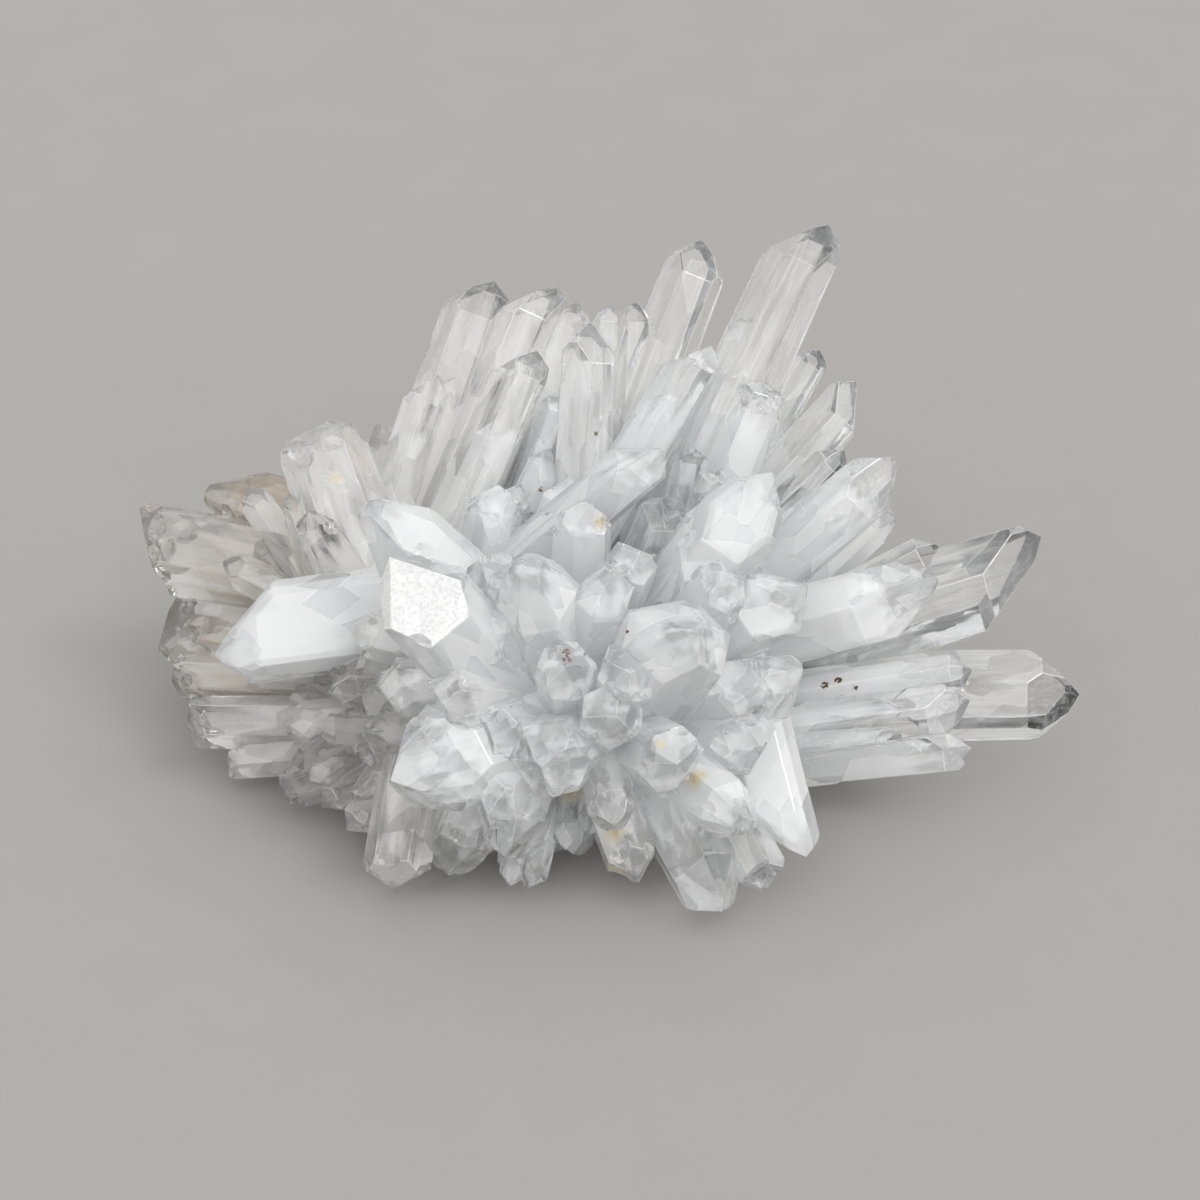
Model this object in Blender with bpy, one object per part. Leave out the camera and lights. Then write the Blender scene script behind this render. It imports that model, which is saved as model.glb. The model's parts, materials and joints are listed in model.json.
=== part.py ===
"""Quartz crystal cluster: one solid of intergrown hexagonal prisms on a lumpy base.

Lengths in the tables are millimetres. The shape is built in the frame of an observer who
looks down at the cluster: u runs right, v up and w towards the observer, and a point's u and v
are its apparent place, so they shrink a little with nearness. The finished solid is in metres,
+Z up, with its origin on the ground below the middle of its box.
"""
import math
import random

import bmesh
import bpy
from mathutils import Matrix, Vector

MM = 0.001

# Driving dimensions, in millimetres
VIEW_ELEVATION = math.radians(32.0)
VIEW_DISTANCE = 447.0
VIEW_CENTRE_HEIGHT = 19.3
CORE_CENTRE = Vector((-5.0, 0.0, 8.0))
CORE_RADII = Vector((31.0, 25.0, 17.0))
CORE_LUMP = 0.26
CORE_GRAIN = 0.03
CORE_WAVES = 7
CORE_WAVE_TURNS = 5.0
CORE_SEED = 5
CORE_SUBDIVISIONS = 3
GROUND_CUT_DEPTH = 30.0
GROUND_CUT_SIZE = 200.0

# Prism faces lie at this share of half the width, give or take, and lean in by a degree or so
FACE_SHARE = 0.9
FACE_SHARE_SPREAD = (0.88, 1.05)
FACE_LEAN = (0.3, 1.3)
# Height, as a share of the length, at which a prism has its stated width
WAIST = 0.6
# Every second closing face stands back a little, in half widths
MINOR_FACE_RISE = (0.05, 0.3)
# Insets of a dome's faces and of its small flat top, in half widths
DOME_INSET = (0.28, 0.38)
DOME_TOP_INSET = 0.08
# Depth, in half widths, of the two chips beside a fracture, their turns from its lean, and their tilts
FLAT_CHIP_DEPTH = 0.45
BROKEN_CHIP_DEPTH = 0.1
CHIP_TURNS = (1.7, 2.5)
CHIP_TILTS = (36, 58)
# The rough round bar that a crystal is cut from: its sides, and its radius and spare length in widths
BAR_SIDES = 8
BAR_RADIUS = 1.4
BAR_SPARE = 3.0

# Angles between the long axis and the normals of the faces that close a crystal
RHOMB_TILT = math.radians(51.8)
DOME_TILTS = (math.radians(64.0), math.radians(40.0))

# Ends whose tip in the table is the apex itself; of the other ends it is the middle
APEX_ENDS = ("point", "blade")
BLADE_THINNESS = 0.5
# A crystal nearer than this cosine to the line of sight has its front side up
FACING_LIMIT = 0.78

# Body colour of the milky quartz
QUARTZ_COLOUR = (0.86, 0.87, 0.88, 1.0)
QUARTZ_ROUGHNESS = 0.12

# Crystals seen from the observer's side: name, tip, root, width, spin, end, favour, amount.
# Angles are degrees about the long axis: 0 faces the observer, and +90 is the right hand side of
# a crystal that points up. Spin turns the prism. At a "point" the faces towards favour grow by
# amount, in half widths; at a "flat" or "broken" end the fracture leans that way by amount degrees.
CRYSTALS = [
    # Tall row along the top
    ("a1", (-13.2, 39.9, -10), (-27.4, -1.0, -7), 8.4, 6, "point", -50, 0.5),
    ("a2", (-20.2, 28.2, -3), (-30.0, -3.0, -3), 6.6, 30, "point", -40, 0.3),
    ("a3", (-5.2, 39.2, -9), (-22.6, -2.0, -6), 8.4, 10, "point", -70, 0.9),
    ("a3_back", (-2.8, 37.2, -12), (-14.0, 5.0, -8), 6.6, 0, "point", 0, 0.2),
    ("a4", (-7.8, 31.2, -1), (-23.0, -4.0, 0), 7.6, 20, "point", -90, 0.4),
    ("a5", (-1.4, 34.8, 2), (-3.3, -8.0, 0), 8.6, 25, "point", 60, 0.2),
    ("a6", (1.4, 37.0, -9), (-2.0, 2.0, -8), 5.4, 10, "point", 0, 0.0),
    ("b0", (4.4, 37.2, -4), (3.4, 0.0, -3), 5.2, 5, "point", 90, 0.2),
    ("b1", (12.8, 45.0, -5), (-5.0, -1.0, -4), 8.4, 8, "point", 60, 0.2),
    ("b2", (14.0, 31.8, 7), (-5.0, 0.0, 3), 7.0, 28, "point", -90, 0.5),
    ("b3", (28.6, 46.9, 5), (4.0, -5.8, 0), 9.8, 2, "point", -90, 0.5),
    ("b4", (27.4, 31.4, -7), (10.0, 2.0, -5), 4.8, 20, "point", 0, 0.0),
    ("b5", (32.0, 27.4, 4), (5.0, -2.4, 2), 7.6, 24, "point", 90, 0.5),
    ("b6", (20.8, 27.0, 12), (8.0, -4.0, 6), 6.8, 10, "broken", 0, 20),
    # Right fan
    ("c1", (30.6, 18.8, 9), (12.0, 1.0, 5), 4.6, 15, "point", 0, 0.0),
    ("c2", (36.9, 17.9, 12), (11.0, -4.0, 3), 8.2, 22, "point", 20, 0.7),
    ("c3", (36.0, 11.8, 2), (14.0, -8.0, 0), 6.4, 0, "broken", 0, 15),
    ("c4", (42.4, 2.6, 17), (9.0, -6.4, 5), 10.0, 26, "point", 15, 1.0),
    ("c4_back", (42.4, 6.8, 5), (20.0, -5.0, 3), 5.0, 8, "point", 0, 0.0),
    ("d1", (55.2, 7.9, 2), (12.0, -5.4, 0), 14.2, 26, "point", 90, 0.75),
    ("d2", (60.0, -11.8, 4), (12.0, -12.3, 0), 12.0, 14, "point", 90, 0.1),
    ("d3", (46.6, -8.7, 13), (14.0, -14.0, 6), 5.2, 12, "point", 0, 0.0),
    ("d4", (46.3, -12.6, 16), (11.0, -17.5, 8), 7.2, 20, "point", 30, 0.4),
    ("d5", (46.6, -18.6, 10), (10.0, -21.8, 5), 9.6, 28, "point", -90, 0.6),
    # Crystals that point up at the observer
    ("k1", (12.2, -3.6, 37), (2.0, -17.0, 8), 13.6, 10, "point", 0, 0.4),
    ("k2", (21.6, 16.0, 24), (6.4, -5.0, 8), 10.2, 2, "point", 0, 0.9),
    ("k3", (1.6, 4.0, 28), (-3.4, -14.0, 8), 7.6, 25, "point", 0, 0.3),
    ("k4", (8.2, 18.8, 17), (-9.0, 4.0, 6), 7.0, 20, "point", -60, 0.4),
    ("k5_left", (11.6, 18.8, 15), (9.0, 6.0, 8), 4.6, 8, "broken", 0, 30),
    ("k5_mid", (14.6, 16.2, 17), (10.0, 4.0, 9), 4.2, 22, "broken", 90, 30),
    ("k5_low", (8.6, 12.0, 19), (4.0, 0.0, 8), 7.0, 16, "broken", 0, 35),
    ("i2", (-9.4, 5.0, 31), (-3.6, -13.0, 8), 11.0, 12, "dome", 0, 0),
    ("j6", (25.4, -8.6, 27), (6.0, -15.5, 11), 8.0, 18, "point", 90, 0.4),
    # Broad crystals of the front left
    ("f1", (-48.3, -6.9, 12), (-14.0, -2.6, 4), 12.2, 20, "point", 80, 0.6),
    ("f2", (-29.6, 11.8, 20), (-5.0, -10.0, 7), 11.8, 20, "dome", 0, 0),
    ("f3", (-22.8, 0.8, 30), (-9.6, -14.0, 10), 11.4, 0, "flat", 0, 32),
    ("e1", (-35.2, 20.8, 4), (-27.0, -4.0, 1), 11.6, 4, "flat", 0, 12),
    ("e1_back", (-27.4, 22.2, -8), (-24.6, 4.0, -8), 5.4, 0, "dome", 0, 0),
    ("e2", (-49.4, 13.4, -17), (-18.0, 4.0, -9), 9.8, 15, "dome", 0, 0),
    ("e3", (-55.8, 6.8, -13), (-18.0, -1.4, -6), 12.0, 22, "flat", -90, 34),
    ("e4", (-44.2, 14.0, 0), (-33.0, -3.0, 0), 4.8, 18, "point", 0, 0.0),
    ("e5", (-38.6, 13.6, 4), (-32.0, -3.0, 2), 4.6, 5, "broken", 0, 30),
    ("e6", (-36.6, 10.8, 9), (-26.0, -4.0, 4), 5.4, 20, "broken", -30, 35),
    ("e7", (-47.2, 4.8, 1), (-28.0, -5.0, 2), 5.0, 10, "point", 0, 0.0),
    ("e8", (-54.4, -3.4, -7), (-24.0, -8.0, -2), 9.4, 24, "broken", -90, -6),
    ("e9", (-53.4, -9.6, -4), (-28.0, -11.0, -1), 6.6, 6, "broken", 90, 12),
    # Small crystals low on the left
    ("g1", (-51.6, -15.2, 1), (-22.0, -15.5, 1), 7.4, 10, "broken", 90, 8),
    ("g2", (-46.6, -20.2, 3), (-26.0, -18.5, 2), 5.0, 20, "broken", 0, 10),
    ("g3_left", (-39.9, -24.2, 8), (-24.0, -18.0, 4), 5.6, 12, "broken", 0, 12),
    ("g3_right", (-34.6, -25.6, 11), (-22.0, -19.0, 5), 6.0, 0, "broken", 0, 20),
    ("g4", (-31.4, -28.6, 16), (-22.0, -20.0, 7), 5.4, 25, "broken", 0, 15),
    ("g5", (-25.8, -35.6, 26), (-22.8, -18.0, 12), 8.4, 10, "broken", 0, 12),
    ("g6", (-30.4, -19.0, 16), (-18.0, -15.0, 7), 5.4, 15, "broken", 0, 20),
    ("g7", (-31.0, -24.6, 16), (-18.0, -18.0, 7), 5.2, 5, "dome", 0, 0),
    ("g8", (-34.0, -11.4, 14), (-18.0, -12.0, 6), 5.6, 22, "point", 0, 0.0),
    # Lower front
    ("h1", (-26.2, -22.6, 32), (-6.0, -16.0, 11), 12.8, 16, "point", 0, 0.3),
    ("h2", (-18.8, -33.2, 25), (-13.0, -20.0, 12), 8.8, 8, "broken", 0, 12),
    ("h3", (-12.0, -32.0, 28), (-8.0, -20.0, 13), 8.6, 20, "point", 0, 0.2),
    ("h4", (-8.6, -35.6, 25), (-5.8, -24.0, 15), 3.6, 12, "broken", 0, 15),
    ("h4_left", (-11.2, -35.8, 25), (-9.0, -24.0, 15), 3.4, 0, "point", 0, 0.0),
    ("h5", (-3.4, -31.8, 23), (-2.0, -20.0, 13), 5.8, 25, "point", 0, 0.0),
    ("i1", (-7.4, -20.8, 36), (-2.0, -16.0, 10), 9.8, 5, "point", 0, 0.0),
    ("j1", (4.6, -34.0, 26), (-1.0, -19.0, 13), 7.0, 20, "broken", 0, 20),
    ("j2", (1.8, -28.2, 31), (0.0, -17.0, 14), 6.0, 8, "point", 0, 0.0),
    ("j3", (15.2, -39.0, 29), (4.6, -19.0, 12), 9.8, 22, "point", -90, 0.15),
    ("j3_top", (18.8, -28.4, 33), (6.0, -18.0, 14), 8.0, 18, "dome", 0, 0),
    ("j4", (21.2, -35.4, 26), (12.6, -20.0, 13), 6.4, 10, "broken", 0, 15),
    ("j5", (25.8, -32.2, 23), (18.6, -5.0, 14), 9.4, 0, "blade", 90, 0.8),
    # Fillers between the broad crystals
    ("m1", (-27.0, -11.0, 23), (-12.0, -12.0, 9), 7.6, 12, "broken", 0, 30),
    ("m2", (-19.6, -12.4, 29), (-8.0, -14.0, 11), 8.0, 22, "broken", 0, 25),
    ("m3", (-31.0, -3.6, 19), (-14.0, -8.0, 7), 6.6, 8, "broken", 0, 30),
    ("m4", (1.6, -14.0, 33), (0.0, -16.0, 12), 8.4, 24, "broken", 60, 30),
    ("m5", (-24.0, -16.0, 24), (-10.0, -16.0, 10), 6.6, 10, "point", 0, 0.0),
    ("m6", (-2.0, 12.0, 20), (-3.0, -6.0, 8), 8.0, 18, "broken", 0, 35),
    ("m7", (26.0, 1.6, 24), (8.0, -8.0, 9), 9.6, 12, "point", 0, 0.5),
    ("m8", (20.4, -18.0, 27), (8.0, -17.0, 12), 8.0, 6, "broken", 0, 25),
    ("m9", (-14.0, -26.0, 30), (-7.0, -18.0, 13), 6.4, 28, "broken", 0, 30),
    ("m10", (9.6, -20.0, 34), (3.0, -17.0, 13), 8.4, 14, "broken", 0, 20),
    ("m11", (-38.6, -3.0, 6), (-20.0, -8.0, 2), 6.2, 20, "broken", 0, 20),
    ("m12", (-40.0, -16.0, 9), (-20.0, -14.0, 4), 6.4, 4, "point", 0, 0.0),
    ("m13", (-12.6, 14.0, 8), (-16.0, -6.0, 2), 7.6, 14, "broken", 0, 40),
    ("m14", (14.6, 7.6, 24), (6.0, -5.0, 8), 8.6, 20, "broken", 90, 25),
    ("m15", (4.6, 6.0, 24), (0.0, -8.0, 8), 6.4, 12, "broken", -60, 30),
    ("m16", (-17.0, -3.0, 26), (-8.0, -12.0, 9), 9.0, 25, "broken", 30, 25),
    ("m17", (-43.0, 7.0, -4), (-24.0, -4.0, -2), 7.0, 5, "broken", 0, 30),
    ("m18", (-4.6, -8.0, 33), (-3.0, -15.0, 11), 8.0, 10, "broken", 90, 25),
    ("m19", (17.4, 2.6, 26), (6.0, -8.0, 9), 9.0, 20, "broken", 0, 25),
    ("m20", (20.2, -10.4, 28), (8.0, -14.0, 11), 8.0, 4, "broken", -60, 25),
    ("m21", (-14.6, 5.0, 22), (-9.0, -9.0, 8), 7.4, 16, "broken", 60, 30),
    ("m22", (3.8, -8.6, 34), (2.0, -14.0, 11), 8.0, 10, "broken", 0, 20),
    ("m23", (-13.0, -17.4, 31), (-6.0, -15.0, 11), 7.0, 20, "broken", 0, 25),
]

# Crystals of the far side: rings of rising elevation, angles in degrees from the +X axis
BACK_RINGS = [
    # elevation, first azimuth, last azimuth, count, shortest, longest, thinnest, thickest
    (7.0, 18.0, 166.0, 10, 31.0, 40.0, 6.0, 9.5),
    (24.0, 28.0, 158.0, 9, 32.0, 42.0, 6.0, 9.0),
    (44.0, 40.0, 146.0, 6, 31.0, 40.0, 6.0, 8.5),
    (-4.0, -24.0, 196.0, 15, 31.0, 37.0, 5.0, 7.6),
]
BACK_ORIGIN = Vector((-5.0, 2.0, 7.0))
BACK_ROOT_SHARE = 0.22
BACK_SPREAD = 4.0
BACK_ENDS = ("point", "point", "point", "broken")
BACK_FRACTURE_LEAN = 22.0
BACK_MOST_FAVOUR = 0.7
BACK_SEED = 11


def observer_axes():
    """Right, up and towards-the-observer directions in the part's frame."""
    c = math.cos(VIEW_ELEVATION)
    s = math.sin(VIEW_ELEVATION)
    return Vector((1, 0, 0)), Vector((0, s, c)), Vector((0, -c, s))


def place(apparent):
    """A point given by its apparent u and v and its nearness w, in the part's frame."""
    right, up, near = observer_axes()
    u, v, w = apparent
    shrink = 1.0 - w / VIEW_DISTANCE
    point = right * (u * shrink) + up * (v * shrink) + near * w
    point.z += VIEW_CENTRE_HEIGHT
    return point


def cut(bm, point, normal):
    """Remove what lies beyond a plane and close the cut."""
    geometry = bm.verts[:] + bm.edges[:] + bm.faces[:]
    result = bmesh.ops.bisect_plane(
        bm, geom=geometry, dist=1e-6, plane_co=point, plane_no=normal, clear_outer=True
    )
    rim = [item for item in result["geom_cut"] if isinstance(item, bmesh.types.BMEdge)]
    if len(rim) >= 3:
        bmesh.ops.edgeloop_fill(bm, edges=rim)


def around(angle, tilt):
    """Unit vector at an angle about the long axis and at a tilt from it."""
    return Vector((
        -math.sin(angle) * math.sin(tilt),
        math.cos(angle) * math.sin(tilt),
        math.cos(tilt),
    ))


def end_planes(end, length, half, turn, favour, amount, rng):
    """Planes that close the tip of a crystal, each a point and an outward normal."""
    tip = Vector((0, 0, length))
    lean = math.radians(favour)
    planes = []
    if end in APEX_ENDS:
        for k in range(6):
            angle = turn + k * math.pi / 3
            normal = around(angle, RHOMB_TILT)
            rise = amount * (1 - math.cos(angle - lean)) / 2
            if k % 2:
                rise += rng.uniform(*MINOR_FACE_RISE)
            planes.append((tip + normal * (rise * half), normal))
    elif end == "dome":
        for ring, tilt in enumerate(DOME_TILTS):
            for k in range(6):
                normal = around(turn + (k + 0.5 * ring) * math.pi / 3, tilt)
                inset = half * rng.uniform(*DOME_INSET) * (1 - math.cos(tilt))
                planes.append((tip + normal * inset, normal))
        planes.append((tip - Vector((0, 0, DOME_TOP_INSET * half)), Vector((0, 0, 1))))
    else:
        planes.append((tip, around(lean, math.radians(amount))))
        chip_depth = FLAT_CHIP_DEPTH if end == "flat" else BROKEN_CHIP_DEPTH
        for side in (-1, 1):
            angle = lean + side * rng.uniform(*CHIP_TURNS)
            tilt = math.radians(rng.uniform(*CHIP_TILTS))
            planes.append((tip + around(angle, tilt) * (half * chip_depth), around(angle, tilt)))
    return planes


def crystal_mesh(name, tip, root, width, spin, end, favour, amount):
    """A tapering six-sided prism from root to tip, closed by flat faces."""
    rng = random.Random(name)
    axis = tip - root
    length = axis.length
    axis.normalize()
    up, near = observer_axes()[1:]
    facing = near if abs(axis.dot(near)) < FACING_LIMIT else up
    front = (facing - axis * facing.dot(axis)).normalized()
    half = width / 2
    bm = bmesh.new()
    bmesh.ops.create_cone(
        bm, cap_ends=True, segments=BAR_SIDES, radius1=width * BAR_RADIUS, radius2=width * BAR_RADIUS,
        depth=length + width * BAR_SPARE, matrix=Matrix.Translation((0, 0, length / 2)),
    )
    turn = math.radians(spin)
    for k in range(6):
        normal = around(turn + k * math.pi / 3, math.pi / 2 - math.radians(rng.uniform(*FACE_LEAN)))
        distance = half * FACE_SHARE * rng.uniform(*FACE_SHARE_SPREAD)
        cut(bm, Vector((normal.x * distance, normal.y * distance, length * WAIST)), normal)
    cut(bm, Vector((0, 0, 0)), Vector((0, 0, -1)))
    for point, normal in end_planes(end, length, half, turn, favour, amount, rng):
        cut(bm, point, normal)
    if end in APEX_ENDS:
        apex = max((vert.co for vert in bm.verts), key=lambda co: co.z)
        bmesh.ops.translate(bm, verts=bm.verts, vec=Vector((0, 0, length)) - apex)
    if end == "blade":
        bmesh.ops.scale(bm, verts=bm.verts, vec=(1.0, BLADE_THINNESS, 1.0))
    frame = Matrix((front.cross(axis), front, axis)).transposed().to_4x4()
    bm.transform(Matrix.Scale(MM, 4) @ Matrix.Translation(root) @ frame)
    bmesh.ops.recalc_face_normals(bm, faces=bm.faces[:])
    mesh = bpy.data.meshes.new(name)
    bm.to_mesh(mesh)
    bm.free()
    return mesh


def centre_offset(meshes):
    """The shift that brings the middle of the footprint to the origin."""
    points = [vert.co for mesh in meshes for vert in mesh.vertices]
    middle = [(min(p[i] for p in points) + max(p[i] for p in points)) / 2 for i in range(2)]
    return Vector((-middle[0], -middle[1], 0.0))


def add_object(name, mesh, collection):
    """Put a mesh in a collection as an object of its own."""
    thing = bpy.data.objects.new(name, mesh)
    collection.objects.link(thing)
    return thing


def hide_as_cutter(thing):
    """Mark an object as a guide that takes part only in a Boolean."""
    thing.hide_render = True
    thing.display_type = "WIRE"


def core_mesh():
    """The lumpy mass that the crystals grow from."""
    bm = bmesh.new()
    bmesh.ops.create_icosphere(bm, subdivisions=CORE_SUBDIVISIONS, radius=1.0)
    rng = random.Random(CORE_SEED)
    waves = []
    for _ in range(CORE_WAVES):
        direction = Vector((rng.uniform(-1, 1), rng.uniform(-1, 1), rng.uniform(-1, 1)))
        waves.append((direction * CORE_WAVE_TURNS, rng.uniform(0, 2 * math.pi)))
    for vert in bm.verts:
        lump = sum(math.sin(vert.co.dot(wave) + phase) for wave, phase in waves) / len(waves)
        vert.co *= 1.0 + CORE_LUMP * lump + rng.uniform(-CORE_GRAIN, CORE_GRAIN)
        vert.co = Vector((
            (CORE_CENTRE.x + vert.co.x * CORE_RADII.x) * MM,
            (CORE_CENTRE.y + vert.co.y * CORE_RADII.y) * MM,
            (CORE_CENTRE.z + vert.co.z * CORE_RADII.z) * MM,
        ))
    mesh = bpy.data.meshes.new("quartz_cluster")
    bm.to_mesh(mesh)
    bm.free()
    return mesh


def back_crystals():
    """Crystals of the far side, in rings that lean outwards less as they rise."""
    rng = random.Random(BACK_SEED)
    rows = []
    for ring, (elevation, first, last, count, short, long, thin, thick) in enumerate(BACK_RINGS):
        for k in range(count):
            evenly = first + (last - first) * k / (count - 1)
            azimuth = math.radians(evenly + rng.uniform(-BACK_SPREAD, BACK_SPREAD))
            tilt = math.radians(elevation + rng.uniform(-BACK_SPREAD, BACK_SPREAD))
            direction = Vector((
                math.cos(azimuth) * math.cos(tilt),
                math.sin(azimuth) * math.cos(tilt),
                math.sin(tilt),
            ))
            reach = rng.uniform(short, long)
            tip = BACK_ORIGIN + direction * reach
            root = BACK_ORIGIN + direction * (reach * BACK_ROOT_SHARE)
            end = rng.choice(BACK_ENDS)
            amount = BACK_FRACTURE_LEAN if end == "broken" else rng.uniform(0.0, BACK_MOST_FAVOUR)
            width = rng.uniform(thin, thick)
            spin = rng.uniform(0, 60)
            favour = rng.uniform(-180, 180)
            rows.append((f"back_{ring}_{k}", tip, root, width, spin, end, favour, amount))
    return rows


def quartz_material():
    """Clear to milky quartz."""
    material = bpy.data.materials.new("quartz")
    material.use_nodes = True
    shader = material.node_tree.nodes["Principled BSDF"]
    shader.inputs["Base Color"].default_value = QUARTZ_COLOUR
    shader.inputs["Roughness"].default_value = QUARTZ_ROUGHNESS
    shader.inputs["Metallic"].default_value = 0.0
    shader.inputs["IOR"].default_value = 1.544
    shader.inputs["Transmission Weight"].default_value = 0.5
    return material


def ground_cutter():
    """A block whose top is the plane on which the cluster rests."""
    bm = bmesh.new()
    bmesh.ops.create_cube(bm, size=1.0)
    bm.transform(Matrix.Diagonal((GROUND_CUT_SIZE * MM, GROUND_CUT_SIZE * MM, GROUND_CUT_DEPTH * MM, 1.0)))
    bm.transform(Matrix.Translation((0, 0, -GROUND_CUT_DEPTH * MM / 2)))
    mesh = bpy.data.meshes.new("ground_cut")
    bm.to_mesh(mesh)
    bm.free()
    return mesh


def build():
    """Empty the scene, then grow the cluster and cut it flat where it rests."""
    for thing in list(bpy.data.objects):
        bpy.data.objects.remove(thing)
    cluster = bpy.data.collections.new("quartz_cluster")
    grown = bpy.data.collections.new("crystals")
    cutters = bpy.data.collections.new("cutters")
    for collection in (cluster, cutters):
        bpy.context.scene.collection.children.link(collection)
    cutters.children.link(grown)

    rows = [(name, place(tip), place(root), *rest) for name, tip, root, *rest in CRYSTALS]
    crystals = [crystal_mesh(*row) for row in rows + back_crystals()]
    core = core_mesh()
    offset = Matrix.Translation(centre_offset(crystals))
    for mesh in crystals + [core]:
        mesh.transform(offset)
    for mesh in crystals:
        hide_as_cutter(add_object(mesh.name, mesh, grown))

    body = add_object("quartz_cluster", core, cluster)
    core.materials.append(quartz_material())

    grow = body.modifiers.new("grow", "BOOLEAN")
    grow.operation = "UNION"
    grow.operand_type = "COLLECTION"
    grow.collection = grown
    grow.solver = "EXACT"

    ground = add_object("ground_cut", ground_cutter(), cutters)
    hide_as_cutter(ground)
    rest = body.modifiers.new("rest", "BOOLEAN")
    rest.operation = "DIFFERENCE"
    rest.object = ground
    rest.solver = "EXACT"


build()
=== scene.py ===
"""Looks of the quartz cluster: clear to milky crystals, their broken ends, veils and druse.

The crystals stand where the frame has them. Lengths in the tables are millimetres; meshes are in
metres. A crystal's own frame has its root at 0 and its tip at +length along Z.
"""
import json
import math
import random
import time

import bmesh
import bpy
import numpy as np
from mathutils import Matrix, Vector
from mathutils.bvhtree import BVHTree

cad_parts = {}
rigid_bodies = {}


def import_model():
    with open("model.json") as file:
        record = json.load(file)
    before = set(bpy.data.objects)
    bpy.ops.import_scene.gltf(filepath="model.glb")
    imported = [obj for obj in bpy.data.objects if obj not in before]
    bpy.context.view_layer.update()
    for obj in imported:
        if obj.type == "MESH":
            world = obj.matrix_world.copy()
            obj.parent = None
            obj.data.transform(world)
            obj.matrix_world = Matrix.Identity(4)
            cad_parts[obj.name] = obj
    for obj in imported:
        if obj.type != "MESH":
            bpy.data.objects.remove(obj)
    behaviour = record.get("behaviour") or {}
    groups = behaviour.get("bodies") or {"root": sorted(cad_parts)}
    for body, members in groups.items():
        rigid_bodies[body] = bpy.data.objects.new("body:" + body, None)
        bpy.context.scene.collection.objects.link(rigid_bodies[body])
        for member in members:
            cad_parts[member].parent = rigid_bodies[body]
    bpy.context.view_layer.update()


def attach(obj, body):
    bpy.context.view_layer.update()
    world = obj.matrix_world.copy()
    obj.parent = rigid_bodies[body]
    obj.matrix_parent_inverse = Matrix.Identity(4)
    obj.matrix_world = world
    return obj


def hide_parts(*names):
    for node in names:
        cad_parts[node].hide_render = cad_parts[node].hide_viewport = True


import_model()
STARTED = time.time()

MM = 0.001

# View of the reference: the table is given as seen from there
VIEW_ELEVATION = math.radians(32.0)
VIEW_DISTANCE = 447.0
VIEW_CENTRE_HEIGHT = 19.3
VIEW_FIELD = 150.0

CORE_CENTRE = Vector((-5.0, 0.0, 8.0))
CORE_RADII = Vector((31.0, 25.0, 17.0))
CORE_LUMP = 0.26
CORE_GRAIN = 0.03
CORE_WAVES = 7
CORE_WAVE_TURNS = 5.0
CORE_SEED = 5
CORE_SUBDIVISIONS = 3
GROUND_CUT_DEPTH = 30.0
GROUND_CUT_SIZE = 200.0

# Angles between the long axis and the normals of the faces that close a crystal
RHOMB_TILT = math.radians(51.8)
DOME_TILTS = (math.radians(64.0), math.radians(40.0))
APEX_ENDS = ("point", "blade")
BLADE_THINNESS = 0.5
FACING_LIMIT = 0.78

EDGE_WEAR = 0.09
EDGE_ANGLE = math.radians(24.0)

# The cloud in a crystal: share of its thickness, and how far below the tip in clear lengths
VEILS = ((0.76, 0.7),)

# A crystal starts at this share of the core's radii, where nothing shows of its foot
ROOT_DEPTH = 0.62
COMPANION_LEAST_WIDTH = 6.4
SPALL_RIPPLE = 0.006
SPALL_GRAIN = 0.004
FACET_GRAIN = 0.12
# Crystals whose ends broke into glittering facets, and ends with a jagged rim: count of bites
SPARKLING = ("k5_left", "k5_mid", "k5_low", "j4", "g6")
SPARKLING_BITES = 5
JAGGED = {"e1": 8, "e2": 6, "e3": 8, "e8": 9, "e9": 6, "g1": 5, "g2": 5, "g5": 5}

# Small crystals on the core: label, count, lowest and highest direction in degrees, shortest, longest,
# thinnest, thickest, spread of direction
DRUSE = [
    ("skirt", 80, -18.0, 25.0, 4.0, 11.0, 3.0, 5.2, 0.22),
    ("bed", 130, -20.0, 80.0, 2.5, 6.5, 1.6, 3.2, 0.30),
]
DRUSE_SEED = 4
# Directions in degrees where the ground stays clear under the right fan
DRUSE_HELD = (300.0, 360.0)

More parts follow.
